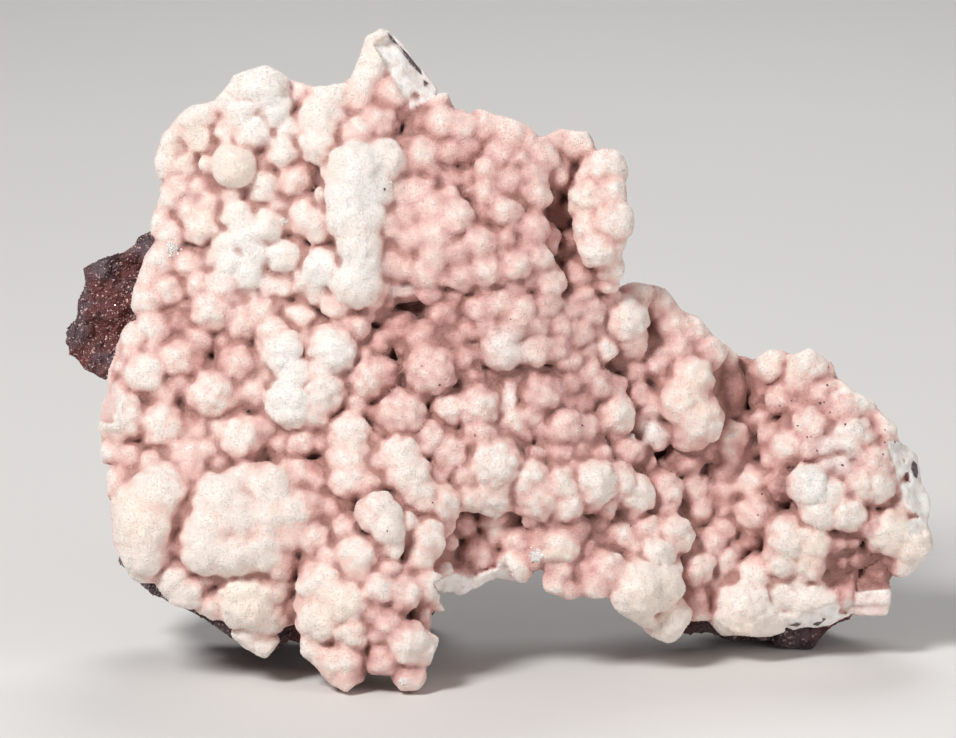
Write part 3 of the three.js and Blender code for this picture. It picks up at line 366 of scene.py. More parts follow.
# Patches where it is a warm, yellowish cream.
WARM_PATCHES = [
    (-48.5, 96.3, 4.5), (-22.3, 118, 2.8), (-31, 96, 3), (-56, 100, 5), (-54, 86, 5), (16, 90, 4),
    (52, 60, 4), (57, 26, 4), (45, 11.5, 3.5), (-46, 18, 6), (-30, 16, 5), (29, 17, 6), (70, 18, 3),
    (75, 28, 5), (37, 55, 5), (10, 24, 4), (-66, 33, 6),
]

# Blocks of broken calcite in the crust: x and v of the middle, width, height and thickness, how far the
# middle lies over the relief, in mm, the turn in degrees, and how fresh and white the break is.
BLOCKS = {
    "flat chip": (-17.8, 73.6, 4.6, 1.7, 4.0, 2.6, 3, 0.4),
    "prism": (1.4, 54.3, 2.0, 4.8, 3.4, 1.6, -8, 0.4),
    "end block": (69.1, 17.0, 6.6, 2.5, 6.0, 1.0, -2, 0.7),
    "end block foot": (69.3, 14.9, 5.0, 2.6, 5.6, 0.3, -6, 0.5),
    "end block root": (65.4, 15.4, 3.4, 2.6, 4.0, 0.4, -20, 0.6),
}
# Clusters of small bright crystals on the crust: x, v, radius, and how many.
CRYSTALS = [(6.7, 25.3, 1.0, 60), (-59.8, 81.4, 1.1, 40), (-17.5, 2.6, 0.6, 14), (24.4, 47, 0.4, 6),
            (-39.6, 86.2, 0.5, 8)]
# Dark mineral in the broken faces, outlined by (x, v).
INCLUSIONS = {
    "peak wedge": [
        (-20.5, 120.7), (-19.5, 119.8), (-18.6, 118.6), (-17.8, 117.8), (-16.9, 117.0), (-15.9, 116),
        (-15.1, 115.1), (-14.5, 114), (-14.3, 113.1), (-14.9, 113.7), (-15.9, 114.6), (-16.6, 115.4),
        (-17.2, 116.3), (-18, 117.4), (-18.8, 118.3), (-19.8, 119.5),
    ],
    "peak corner": [(-14, 112.2), (-13.1, 111.7), (-13.8, 111)],
    "right band": [
        (76.4, 42.4), (77.1, 41.7), (77.3, 40.2), (77.1, 39.1), (76.6, 39.4), (76, 40.8), (76.1, 41.7),
    ],
    "lower slot": [(53.4, 11.9), (54.8, 12.4), (55.7, 12.2), (54.9, 11.7)],
    "lower slit": [(57.8, 12), (59.8, 13.3), (60.3, 13.1), (58.8, 11.8)],
}

# Fine dark grains on the crust, (x, v).
DARK_GRAINS = [
    (60.3, 56.3), (53.8, 53.5), (59.7, 53.2), (63.5, 49.1), (70.9, 48.1), (72.8, 45.8), (56.5, 46.8),
    (58.3, 44.3), (62.5, 43.5), (70.5, 43.6), (48.3, 36.2), (-11, 56.4), (-20.5, 29.9), (-4.6, 47.2),
    (-12.3, 35), (1.9, 68.4), (-19, 103), (6, 24), (15, 49), (24, 30.5), (-21, 92),
]

# The rock's outlines where it shows past the crust, (x, v): the ear at the left and the two lower edges.
ROCK_OUTLINES = {
    "ear": [
        (-58, 88), (-64, 84.8), (-66.5, 83.6), (-67.8, 81), (-69.5, 80.8), (-72, 80.1), (-74, 79.5),
        (-76.7, 77.8), (-76.2, 75), (-77.6, 72), (-77.7, 70.5), (-77.2, 69.7), (-78.5, 67.5),
        (-79.8, 66.8), (-80.2, 65), (-79.7, 62), (-77.5, 60.7), (-76.5, 59.3), (-74.5, 58.1), (-72, 57),
        (-64, 52),
    ],
    "lower left": [
        (-60, 40), (-73.5, 33), (-72.5, 30.2), (-71.8, 28.8), (-70.6, 28.2), (-70.1, 25.2), (-70.3, 23.7),
        (-69.5, 22.8), (-68.2, 22.1), (-67, 19.6), (-64.8, 17.8), (-61.5, 16.5), (-57.5, 15.1),
        (-53.8, 13), (-51, 10.8), (-48, 8.9), (-45.5, 7.9), (-43, 6.6), (-40, 8.5), (-38.8, 9.5),
        (-33, 18),
    ],
    "lower right": [
        (30, 20), (33.2, 10.4), (35, 9.9), (38, 9.3), (42, 8.5), (43.5, 8.3), (46, 9.2), (49, 8.9),
        (52, 7.6), (54, 7.4), (58, 7.2), (59.7, 9.5), (60.5, 11), (63, 12.2), (66, 13), (68, 22),
    ],
}
# Patches of the rock, (x, v, radius), that are grey rather than maroon. The first three, along the ear's
# edges, are grey-blue rock and partly painted highlight, for the silvery shine along those edges.
GREY_PATCHES = [
    (-66, 82.5, 3), (-73, 79, 3.5), (-78.5, 66, 3), (-70, 25, 6), (-52, 12, 5), (40, 10, 5), (54, 9, 7),
]


# Broken faces where the crust was cut or chipped: the inner edge from (x, v) to (x, v), with the crust on its
# left-hand side going from the first point to the second, how far the front stands over the relief there,
# how steeply the face falls away, and how fresh and white the break is.
BREAKS = {
    "peak facet": ((-14.8, 109.2), (-20.2, 118.8), 2.6, 0.75, 1),
    "right band": ((77.8, 30.2), (73.9, 45.0), 2.8, 1.1, 1),
    "arch edge": ((-9.8, 18.6), (-0.2, 23.2), 1.6, 0.8, 1),
    "left edge": ((-70.0, 65.5), (-72.7, 51), 2.4, 1.3, 0.25),
    "lower right edge": ((54.2, 11.9), (64, 13.9), 3.0, 1.2, 1),
}
# How far a broken face goes past the ends of its inner edge and in front of it, how far out it counts as
# near, and how far the lumps' sheet stands over it, in mm.
BREAK_ENDS = 1.5
BREAK_BEFORE = 2.5
BREAK_REACH = 8
LEDGE = 0.3

# Fillers are small lumps in the room that the named ones leave. They lie below this v, so far inside the
# outline and so far from the pits, over their radii, and take the tone of so many neighbours, give or take.
FILLER_SEED = 11
FILLER_TOP = 122
FILLER_INSET = 0.75
FILLER_FROM_PIT = 0.7
FILLER_NEIGHBOURS = 4
FILLER_TONES = 0.06
# How far a lump's footing reaches, over its radius, and how quickly the footing is complete.
FOOTING_REACH = 1.2
FOOTING_GAIN = 1.5

# Knobs: the least of them on a lump, how far down its front they go, how much their places and turns vary,
# and how large they are at most, over the lump's radius.
LOBE_SEED = 5
GOLDEN_ANGLE = math.pi * (3 - math.sqrt(5))
LEAST_LOBES = 3
LOWEST_LOBE = 0.95
LOBE_PLACES = (0.3, 0.7)
LOBE_TURNS = 0.2
LOBE_SHARE = 0.6

# A lump's root: its length over the lump's radius, and how fast it tapers.
ROOT_LENGTH = 1.3
ROOT_TAPER = 0.18
# The width over which a lump fuses: a part that all have, and a part for each mm of radius.
FUSE_START = 0.5
FUSE_GROWTH = 0.25
# A distance from anything, in mm, and the sheet's own steepness in the field.
FAR = 50
SHEET_STEEPNESS = 0.8
PIT_POWER = 1.5
# The rim's edge: its rounding in mm, and more with the inset; the height of its upright lip; and the depth
# over which its roughness comes in.
RIM_ROUNDING = 0.3
RIM_SOFTNESS = 1.3
RIM_LIP = 1.2
RIM_FADE = 2
OVERHANG_ROUNDING = 0.5

# Layers of noise, each of a size and a reach in mm.
CRUST_WARP = ((5.0, 0.4), (2.2, 0.1))
CRUST_ROUGHNESS = ((1.9, 0.06),)
BROKEN_ROUGHNESS = ((2.6, 0.2), (1.2, 0.15))
ROCK_ROUGHNESS = ((6.0, 1.3), (2.6, 0.75), (1.3, 0.4))
# Smooth noise: its table of slopes, what spreads places over the table, and its gain.
NOISE_SLOPES = 4096
NOISE_PRIMES = (73856093, 19349663, 83492791)
NOISE_GAIN = 1.2
# Points as near the floor as this stand on it; no druse grows as low as so many crystal heights.
GROUNDED = 0.05 * MM
DRUSE_CLEARANCE = 4

# The crust's hollowness is measured over these reaches, in mm, and the near one counts from its least. It
# darkens the tone as painted shade, as the soft hollows do. Height over the sheet lightens the tone, partly
# for the paler calcite of the tips and partly as painted light.
NEAR_REACH = 0.9
WIDE_REACH = 2.6
NEAR_LEAST = -0.2
NEAR_PAINTED_SHADE = 1.3
WIDE_PAINTED_SHADE = 0.8
HOLLOW_PAINTED_SHADE = 0.3
HEIGHT_PALER_AND_LIT = 0.05
MIDDLE_HEIGHT = 1.5
HEIGHT_RANGE = (-2, 2.5)
# Tone: how far a lump's own spreads, its share on the lump, and how much darker the gaps are.
TONE_SPREAD = 0.7
OWN_TONE = 0.6
GAP_DARKER = 0.10
# The crust this near to the rock, in mm, is hidden by it, and loses this share of its triangles.
HIDDEN_DEPTH = 0.25
HIDDEN_CUT = 0.9
SMOOTHING = 0.4

# How fresh the rim's wall and the beds of the bright crystals look.
WALL_FRESHNESS = 0.7
CRYSTAL_FRESHNESS = 0.9
# The rim's wall, in mm: how far below the sheet it starts, how wide it is, and how softly it begins.
WALL_START = 1.5
WALL_WIDTH = 3
WALL_FADE = 1.5
# How breaks fade out, as a share at no distance and a width in mm, and how deep into a block they reach.
BREAK_FADE = (1.4, 0.4)
BLOCK_FADE = (0.7, 0.5)
BLOCK_DEPTH = 0.3

# The rock's facets: how densely they fill its box, how much they tilt and step, the width of the blend
# between two, in mm, and the number of parts that the points are worked in.
FACET_SHARE = 0.9
FACET_TILT = 0.5
FACET_BLEND = 1.2
FACET_PARTS = 60
# The rock is drawn in, so many times, until it is this far inside the crust's outline, in mm.
ROCK_INSET = 0.6
DRAW_IN_PASSES = 3
NUDGE = 0.05
# Where the rock glitters: the usual share, its swing over patches of a size in mm, the least, and the
# height over the floor, in mm, where it starts.
GLITTER_SHARE = 0.4
GLITTER_SWING = 1.8
GLITTER_PATCH = 5.0
GLITTER_LEAST = 0.03
GLITTER_START = 1.2

# A grown crystal's sink, over its height, and the range of the sizes.
CRYSTAL_SINK = -0.3
CRYSTAL_SCALES = (0.55, 1.45)
# Splinters: the sizes of their boxes, how much of a corner stays, and the sizes in mm of the bright
# crystals and of the dark grains.
SPLINTER_BOX = (0.85, 1.05)
SPLINTER_CORNER = (0.55, 0.85)
BRIGHT_SIZES = (0.2, 0.5)
GRAIN_SIZES = (0.16, 0.42)
CRYSTAL_SPREAD = 0.5
# The first dark grains have a companion each, this near in mm, unless it would pass the crust's end.
PAIRED_GRAINS = 12
GRAIN_SPREAD = 4
GRAIN_END = 72
# How far the dark inclusions stand out and reach in, and where the look along d starts and ends, in mm.
INCLUSION_TOP = 0.25
INCLUSION_BOTTOM = 0.8
LOOK_FROM = 40
LOOK_TO = -60

# The studio, in metres: each lamp's place and size, the point of the face that camera and lamps look at, in
# mm, the width that the camera takes in there, and the floor's two tones.
LAMPS = {
    "key": ((-0.6, -0.7, 0.95), 0.4),
    "fill": ((0.8, -0.6, 0.35), 0.7),
    "rim": ((0.1, 0.7, 0.9), 0.6),
}
LOOK_AT = (-4.03, 59.3, -6.0)
FRAME_WIDTH = 956 * 0.183 * MM
SENSOR_WIDTH = 36
CAMERA_RANGE = (0.05, 20)
FLOOR_TONES = ((0.86, 0.85, 0.84), (0.88, 0.87, 0.86))
FLOOR_PATCH = 0.4


def settings():
    return bpy.context.scene.specimen


def cell_factor():
    """How much larger than usual the cells of this run are."""
    return 1


def crystal_factor():
    """The share of the crystals that this run has."""
    return 1


# ---- The face ----

def to_world(points):
    """Points (x, v, d) of the face, in mm, as points of the frame, in metres."""
    x, v, d = np.asarray(points, dtype=float).T
    y = v * math.sin(LEAN) - d * math.cos(LEAN)
    z = v * math.cos(LEAN) + d * math.sin(LEAN)
    return (np.column_stack((x, y, z)) + SHIFT) * MM


def to_face(points):
    """The way back from to_world()."""
    x, y, z = (np.asarray(points, dtype=float) / MM - SHIFT).T
    v = y * math.sin(LEAN) + z * math.cos(LEAN)
    d = z * math.sin(LEAN) - y * math.cos(LEAN)
    return np.column_stack((x, v, d))


def outline_distance(x, v, outline=OUTLINE):
    """Distance to the outline in mm, negative inside."""
    nearest = np.full(np.shape(x), np.inf)
    inside = np.zeros(np.shape(x), dtype=bool)
    for (ax, av), (bx, bv) in zip(outline, outline[1:] + outline[:1]):
        ex, ev = bx - ax, bv - av
        share = np.clip(((x - ax) * ex + (v - av) * ev) / (ex * ex + ev * ev), 0, 1)
        nearest = np.minimum(nearest, np.hypot(x - ax - share * ex, v - av - share * ev))
        if ev:
            inside ^= ((av > v) != (bv > v)) & (x < ax + (v - av) / ev * ex)
    return np.where(inside, -nearest, nearest)


def relief(x, v, narrow=True):
    """Depth of the face between the lumps, in mm."""
    depth = np.full(np.shape(x), float(BASE_DEPTH))
    hills = [*BROAD_HILLS.values(), *(NARROW_HILLS.values() if narrow else ())]
    for hill_x, hill_v, height, across, along in hills:
        depth += height * np.exp(-(((x - hill_x) / across) ** 2) - ((v - hill_v) / along) ** 2)
    if narrow:
        for hollow_x, hollow_v, radius in HOLLOWS:
            off2 = ((x - hollow_x) ** 2 + (v - hollow_v) ** 2) / radius ** 2
            depth -= settings().crust.hollow_depth * radius * np.exp(-off2)
    start, end, fall = RIGHT_FALL
    share = np.clip((x - start) / (end - start), 0, 1)
    return depth - fall * share * share * (3 - 2 * share)


def smooth_min(a, b, width):
    """The smaller of two distances, with the crease between them filled over a width."""
    overlap = np.maximum(width - np.abs(a - b), 0) / width
    return np.minimum(a, b) - overlap * overlap * width / 4


def smooth_max(a, b, width):
    """The larger of two distances, with the edge between them rounded over a width."""
    return -smooth_min(-a, -b, width)


def noise(points, cell, seed):
    """Smooth noise from about -1 to 1 at each point, with features the size of a cell."""
    slopes = np.random.default_rng(seed).normal(size=(NOISE_SLOPES, 3))
    scaled = np.asarray(points, dtype=float) / cell
    corner = np.floor(scaled).astype(np.int64)
    share = scaled - corner
    eased = share * share * share * (share * (share * 6 - 15) + 10)
    total = np.zeros(len(scaled))
    for step in np.ndindex(2, 2, 2):
        key = np.bitwise_xor.reduce((corner + step) * NOISE_PRIMES, axis=1)
        weight = np.prod(np.where(step, eased, 1 - eased), axis=1)
        total += weight * (slopes[key % len(slopes)] * (share - step)).sum(axis=1)
    return total * NOISE_GAIN


# ---- The lumps ----

def named_lumps():
    """One row for each named lump: x, v, radius, lift, tone, softness, and 1 if it has knobs."""
    rows = []
    for name, (lift, tone, soft, members) in CLUSTERS.items():
        knobbly = name not in SMOOTH_CLUSTERS
        for x, v, radius, *own in members:
            rows.append((x, v, radius * settings().crust.plump, lift, own[0] if own else tone, soft, knobbly))
    return np.array(rows)


def fill_gaps(lumps, crust):
    """The named lumps, with small, lower ones of their neighbours' tone wherever they leave room."""
    random = np.random.default_rng(FILLER_SEED)
    rows = np.vstack((lumps, np.zeros((crust.filler_tries, 7))))
    count = len(lumps)
    pits = np.array(PITS)
    tries = random.uniform((FIELD_LOW[0], 0, 0), (FIELD_HIGH[0], FILLER_TOP, 1), (crust.filler_tries, 3))
    radii = crust.filler_small + (crust.filler_large - crust.filler_small) * tries[:, 2] ** 2
    inside = outline_distance(tries[:, 0], tries[:, 1]) < -radii * FILLER_INSET
    for (x, v, _), radius in zip(tries[inside], radii[inside]):
        reach = np.hypot(rows[:count, 0] - x, rows[:count, 1] - v)
        if np.any(reach < (rows[:count, RADIUS] + radius) * crust.filler_room):
            continue
        from_pits = np.hypot(pits[:, 0] - x, pits[:, 1] - v)
        if np.any(from_pits < pits[:, 2] * FILLER_FROM_PIT) or near_break(x, v) > 0:
            continue
        near = np.argsort(np.hypot(lumps[:, 0] - x, lumps[:, 1] - v))[:FILLER_NEIGHBOURS]
        tone = lumps[near, TONE].mean() - crust.filler_darker
        tone += random.uniform(-FILLER_TONES, FILLER_TONES)
        rows[count] = (x, v, radius, 0, tone, lumps[near, SOFTNESS].mean(), 1)
        count += 1
    return rows[:count]


def swell(lumps, x, v, reach=1.7):
    """How far the sheet rises under the raised clusters, in mm."""
    height = np.zeros(np.shape(x))
    for lump_x, lump_v, radius, lift, *_ in lumps:
        if lift > 0:
            off = np.hypot(x - lump_x, v - lump_v) / (radius * reach)
            height = np.maximum(height, lift * (1 - np.minimum(off, 1) ** 4))
    return height


def footing(lumps, x, v):
    """The size of the lumps round each place, in mm: the larger and softer they are, the higher they fuse."""
    total = np.zeros(x.shape)
    weight = np.full(x.shape, TINY)
    for lump_x, lump_v, radius, _, _, soft, _ in lumps:
        spread = np.exp(-((x - lump_x) ** 2 + (v - lump_v) ** 2) / (radius * FOOTING_REACH) ** 2)
        total += spread * radius * soft
        weight += spread
    return total / weight * np.clip(weight * FOOTING_GAIN, 0, 1)


def between_lumps(lumps, x, v, crust):
    """Depth of the sheet that the lumps stand on, in mm."""
    return relief(x, v) + swell(lumps, x, v) + crust.sheet_rise * footing(lumps, x, v)


def lobes_of(lump, centre, random, crust):
    """Knobs spaced evenly over a lump's front, as rows of x, v, d, radius."""
    radius = lump[RADIUS]
    count = max(LEAST_LOBES, int(round(crust.lobes * radius * radius)))
    place = (np.arange(count) + random.uniform(*LOBE_PLACES, count)) / count
    height = 1 - LOWEST_LOBE * place
    turn = np.arange(count) * GOLDEN_ANGLE + random.uniform(0, math.tau)
    turn += random.uniform(-LOBE_TURNS, LOBE_TURNS, count)
    size = np.minimum(random.uniform(crust.lobe_small, crust.lobe_large, count), LOBE_SHARE * radius)
    flat = np.sqrt(1 - height * height)
    away = (radius - size * crust.lobe_sink)[:, None]
    direction = np.column_stack((flat * np.cos(turn), flat * np.sin(turn), height))
    return np.column_stack((centre + direction * away, size))


# ---- The field ----

class Field:
    """Distances in mm on a grid over the face, negative inside the crust."""

    def __init__(self, low, high, step):
        self.low = np.array(low)
        self.step = step
        counts = np.ceil((np.array(high) - self.low) / step).astype(int) + 1
        self.axes = [(self.low[axis] + step * np.arange(count)).astype(np.float32)
                     for axis, count in enumerate(counts)]
        self.values = np.full(counts, FAR, dtype=np.float32)

    def flat(self):
        """x and v over the whole face."""
        return np.meshgrid(self.axes[0], self.axes[1], indexing="ij")

    def window(self, low, high):
        """The part of the grid between two corners: its slices, and x, v and d to go with it."""
        start = np.floor((np.array(low) - self.low) / self.step).astype(int)
        end = np.ceil((np.array(high) - self.low) / self.step).astype(int) + 1
        cut = tuple(slice(max(a, 0), max(b, 0)) for a, b in zip(start, end))
        x, v, d = (axis[part] for axis, part in zip(self.axes, cut))
        return cut, x[:, None, None], v[None, :, None], d[None, None, :]

    def add_lump(self, centre, radius, fuse, root=0.0):
        """Fuses on a ball, with a root of the given length that tapers back into the sheet."""
        centre = np.array(centre)
        reach = radius + fuse + self.step
        cut, x, v, d = self.window(centre - reach - (0, 0, root), centre + reach)
        down = np.clip(centre[2] - d, 0, root)
        across = np.sqrt((x - centre[0]) ** 2 + (v - centre[1]) ** 2 + (d - centre[2] + down) ** 2)
        distance = across - radius + ROOT_TAPER * down
        self.values[cut] = smooth_min(self.values[cut], distance, fuse)

    def add_block(self, centre, size, turn, fuse, rounding=0.35):
        """Fuses on a block with rounded edges, turned in the face."""
        reach = np.linalg.norm(size) / 2 + fuse + self.step
        cut, x, v, d = self.window(np.array(centre) - reach, np.array(centre) + reach)
        along, up = math.cos(turn), math.sin(turn)
        off = np.broadcast_arrays((x - centre[0]) * along + (v - centre[1]) * up,
                                  (v - centre[1]) * along - (x - centre[0]) * up, d - centre[2])
        out = [np.abs(part) - half / 2 + rounding for part, half in zip(off, size)]
        past = np.sqrt(sum(np.maximum(part, 0) ** 2 for part in out))
        distance = past + np.minimum(np.maximum.reduce(out), 0) - rounding
        self.values[cut] = smooth_min(self.values[cut], distance, fuse)

    def cut_away(self, distance, width=0.0):
        """Keeps only what is also inside another shape."""
        if np.any(width):
            self.values = smooth_max(self.values, distance, width)
        else:
            self.values = np.maximum(self.values, distance)


def from_edge(broken, x, v):
    """How far places are along a broken face's inner edge and beyond it, and the edge's length."""
    (ax, av), (bx, bv), *_ = broken
    length = math.hypot(bx - ax, bv - av)
    along = ((x - ax) * (bx - ax) + (v - av) * (bv - av)) / length
    beyond = ((x - ax) * (bv - av) - (v - av) * (bx - ax)) / length
    return along, beyond, length


def edge_depth(broken):
    """A broken face's depth at its inner edge."""
    (ax, av), (bx, bv), rise, *_ = broken
    return relief((ax + bx) / 2, (av + bv) / 2) + rise


def break_plane(broken, x, v):
    """A broken face's depth over the face, where it applies, and the length of its slope to a mm of depth."""
    fall = broken[3]
    along, beyond, length = from_edge(broken, x, v)
    here = (along > -BREAK_ENDS) & (along < length + BREAK_ENDS) & (beyond > -BREAK_BEFORE)
    return edge_depth(broken) - fall * beyond, here, math.hypot(1, fall)


def near_break(x, v):
    """1 at and past the inner edges of the broken faces, 0 away from them."""
    share = np.zeros(np.shape(x))
    for broken in BREAKS.values():
        along, beyond, length = from_edge(broken, x, v)
        ends = np.clip(along + BREAK_ENDS, 0, 1) * np.clip(length + BREAK_ENDS - along, 0, 1)
        share = np.maximum(share, ends * np.clip(beyond + BREAK_ENDS, 0, 1) * (beyond < BREAK_REACH))
    return share


def with_ledges(sheet, x, v):
    """The sheet, raised to the broken faces past their inner edges."""
    for broken in BREAKS.values():
        face, here, _ = break_plane(broken, x, v)
        past = face < edge_depth(broken)
        sheet = np.where(here & past, np.maximum(sheet, face + LEDGE), sheet)
    return sheet


def rough_waves(field, waves, shortest, longest, seed):
    """Cheap noise from about -1 to 1 over the whole grid: waves in all directions, summed."""
    random = np.random.default_rng(seed)
    total = np.zeros(field.values.shape, dtype=np.float32)
    x, v, d = (axis.reshape([-1 if axis is other else 1 for other in field.axes]) for axis in field.axes)
    for _ in range(waves):
        direction = random.normal(size=3)
        direction *= math.tau / random.uniform(shortest, longest) / np.linalg.norm(direction)
        total += np.sin(direction[0] * x + direction[1] * v + direction[2] * d + random.uniform(0, 7))
    return total / math.sqrt(waves)


def rim_wall(field, edge, below, crust):
    """Distance to the crust's broken rim, which slopes back under the lumps and is rough."""
    deep = np.clip(below - RIM_LIP, 0, None)
    rough = rough_waves(field, waves=7, shortest=2.0, longest=6.0, seed=71) * crust.wall_roughness
    return edge + crust.undercut * deep + rough * np.clip(deep / RIM_FADE, 0, 1)


def crust_field(lumps, crust, step):
    """The crust's field, and the depth of its sheet over the face."""
    field = Field(FIELD_LOW, FIELD_HIGH, step)
    x, v = field.flat()
    sheet = between_lumps(lumps, x, v, crust)
    for pit_x, pit_v, radius in PITS:
        off = np.hypot(x - pit_x, v - pit_v) / radius
        sheet -= crust.pit_depth * radius * np.maximum(1 - off * off, 0) ** PIT_POWER
    sheet = with_ledges(sheet, x, v)
    depth = field.axes[2][None, None, :]
    wall = rim_wall(field, outline_distance(x, v)[:, :, None], sheet[:, :, None] - depth, crust)
    field.values[:] = (depth - sheet[:, :, None]) * SHEET_STEEPNESS
    inset = crust.rim_inset * (1 - near_break(x, v))[:, :, None]
    field.cut_away(wall + inset, RIM_ROUNDING + inset * RIM_SOFTNESS)

    random = np.random.default_rng(LOBE_SEED)
    at_x, at_v, radii, lifts = lumps[:, 0], lumps[:, 1], lumps[:, RADIUS], lumps[:, LIFT]
    centres = relief(at_x, at_v) + np.minimum(lifts, 0)
    uneven = random.uniform(-1, 1, len(lumps)) * crust.uneven
    centres += swell(lumps, at_x, at_v) + (crust.lump_rise + uneven) * radii
    least = between_lumps(lumps, at_x, at_v, crust) - crust.deepest * radii
    centres = np.where(lifts >= 0, np.maximum(centres, least), centres)
    for lump, depth_here in zip(lumps, centres):
        centre = (lump[0], lump[1], depth_here)
        radius = lump[RADIUS]
        fuse = crust.fuse * lump[SOFTNESS]
        field.add_lump(centre, radius, fuse * (FUSE_START + FUSE_GROWTH * radius), radius * ROOT_LENGTH)
        if lump[KNOBBLY]:
            for *place, size in lobes_of(lump, centre, random, crust):
                field.add_lump(place, size, fuse * crust.lobe_fuse)

    for block_x, block_v, width, height, thick, rise, turn, _ in BLOCKS.values():
        centre = (block_x, block_v, relief(block_x, block_v) + rise)
        field.add_block(centre, (width, height, thick), math.radians(turn), crust.fuse)

    contact = relief(x, v, narrow=False) - CRUST_THICKNESS - crust.embed
    field.cut_away(contact[:, :, None] - depth)
    field.cut_away(wall - crust.overhang, OVERHANG_ROUNDING)
    for broken in BREAKS.values():
        top, here, slope = break_plane(broken, x, v)
        plane = np.where(here[:, :, None], (depth - top[:, :, None]) / slope, -FAR)
        field.cut_away(plane.astype(np.float32), RIM_ROUNDING)
    floor = -(v[:, :, None] * math.cos(LEAN) + depth * math.sin(LEAN) + SHIFT[2])
    field.cut_away(floor.astype(np.float32))
    return field, sheet, centres


def skin(field):
    """Points and quads of the surface where the field is zero, one point in each cell that it crosses."""
    values = field.values
    inside = values < 0
    counts = sum(inside[i:i - 1 or None, j:j - 1 or None, k:k - 1 or None].astype(np.uint8)
                 for i, j, k in np.ndindex(2, 2, 2))
    crossed = (counts > 0) & (counts < 8)
    cells = np.argwhere(crossed)
    number = np.full(crossed.shape, -1, dtype=np.int64)
    number[crossed] = np.arange(len(cells))

    total = np.zeros((len(cells), 3))
    hits = np.zeros(len(cells))
    for axis in range(3):
        others = [other for other in range(3) if other != axis]
        for side in np.ndindex(2, 2):
            start = np.zeros(3, dtype=int)
            start[others] = side
            end = start.copy()
            end[axis] = 1
            low = values[tuple((cells + start).T)]
            high = values[tuple((cells + end).T)]
            meets = (low < 0) != (high < 0)
            share = np.where(meets, low / np.where(meets, low - high, 1), 0)
            total += np.where(meets[:, None], start + share[:, None] * (end - start), 0)
            hits += meets
    points = field.low + field.step * (cells + total / hits[:, None])

    quads = []
    for axis in range(3):
        low = np.take(inside, range(inside.shape[axis] - 1), axis)
        high = np.take(inside, range(1, inside.shape[axis]), axis)
        edges = np.argwhere(low != high)
        first, second = [other for other in range(3) if other != axis]
        edges = edges[(edges[:, first] > 0) & (edges[:, second] > 0)]
        edges = edges[(edges[:, first] < crossed.shape[first]) & (edges[:, second] < crossed.shape[second])]
        ring = []
        for step in ((1, 1), (0, 1), (0, 0), (1, 0)):
            cell = edges.copy()
            cell[:, first] -= step[0]
            cell[:, second] -= step[1]
            ring.append(number[tuple(cell.T)])
        ring = np.column_stack(ring)
        outward = inside[tuple(edges.T)]
        if axis == 1:
            outward = ~outward
        quads.append(np.where(outward[:, None], ring, ring[:, ::-1]))
    return points, np.vstack(quads)


def warped(points, layers, seed):
    """Points shifted every way by layers of noise, each of a size and a reach in mm."""
    shift = np.zeros_like(points)
    for layer, (size, reach) in enumerate(layers):
        for axis in range(3):
            shift[:, axis] += noise(points, size, seed + 3 * layer + axis) * reach
    return points + shift


def largest_part(points, quads):
    """Drops every part of a skin but the largest, such as the walls of a bubble inside."""
    label = np.arange(len(points))
    while True:
        lowest = label[quads].min(axis=1)
        moved = label.copy()
        for corner in range(4):
            np.minimum.at(moved, quads[:, corner], lowest)
        moved = moved[moved]
        if np.array_equal(moved, label):
            break
        label = moved
    names, sizes = np.unique(label, return_counts=True)
    keep = label == names[np.argmax(sizes)]
    renumber = np.cumsum(keep) - 1
    return points[keep], renumber[quads[keep[quads[:, 0]]]]


def blurred(values, cells):
    """Each cell's average over a cube of cells round it, taken twice."""
    for _ in range(2):
        for axis in range(3):
            size = values.shape[axis]
            running = np.cumsum(values, axis=axis, dtype=np.float32)
            at = np.arange(size)
            high = np.take(running, np.minimum(at + cells, size - 1), axis)
            low = np.take(running, np.maximum(at - cells - 1, 0), axis)
            values = (high - low) / (2 * cells + 1)
    return values


def sampled(field, values, points):
    """Values of the grid at points, from the eight cells round each."""
    place = (points - field.low) / field.step
    corner = np.clip(np.floor(place).astype(int), 0, np.array(values.shape) - 2)
    share = place - corner
    total = np.zeros(len(points))
    for step in np.ndindex(2, 2, 2):
        weight = np.prod(np.where(step, share, 1 - share), axis=1)
        total += weight * values[tuple((corner + step).T)]
    return total


# ---- Meshes ----

def new_object(name, mesh):
    """An object in the scene, from its mesh, lamp or camera."""
    obj = bpy.data.objects.new(name, mesh)
    bpy.context.scene.collection.objects.link(obj)
    return obj


def label_points(mesh, **attributes):
    """Gives each point of a mesh one number under each attribute's name."""
    for label, values in attributes.items():
        layer = mesh.attributes.new(label, "FLOAT", "POINT")
        layer.data.foreach_set("value", np.asarray(values, dtype=np.float32))


def mesh_object(name, points, faces, **attributes):
    """An object from points in metres, with its attributes."""
    mesh = bpy.data.meshes.new(name)
    mesh.from_pydata(np.asarray(points).tolist(), [], [list(face) for face in faces])
    label_points(mesh, **attributes)
    mesh.update()
    return new_object(name, mesh)


def coordinates(mesh):
    """A mesh's points, in metres."""
    flat = np.empty(len(mesh.vertices) * 3)
    mesh.vertices.foreach_get("co", flat)
    return flat.reshape(-1, 3)


def normals(mesh):
    """Which way the surface faces at each point."""
    flat = np.empty(len(mesh.vertices) * 3)
    mesh.vertex_normals.foreach_get("vector", flat)
    return flat.reshape(-1, 3)


def move_points(mesh, points):
    """Gives a mesh's points new places, none of them below the floor."""
    points[:, 2] = np.maximum(points[:, 2], 0)
    mesh.vertices.foreach_set("co", points.ravel())
    mesh.update()


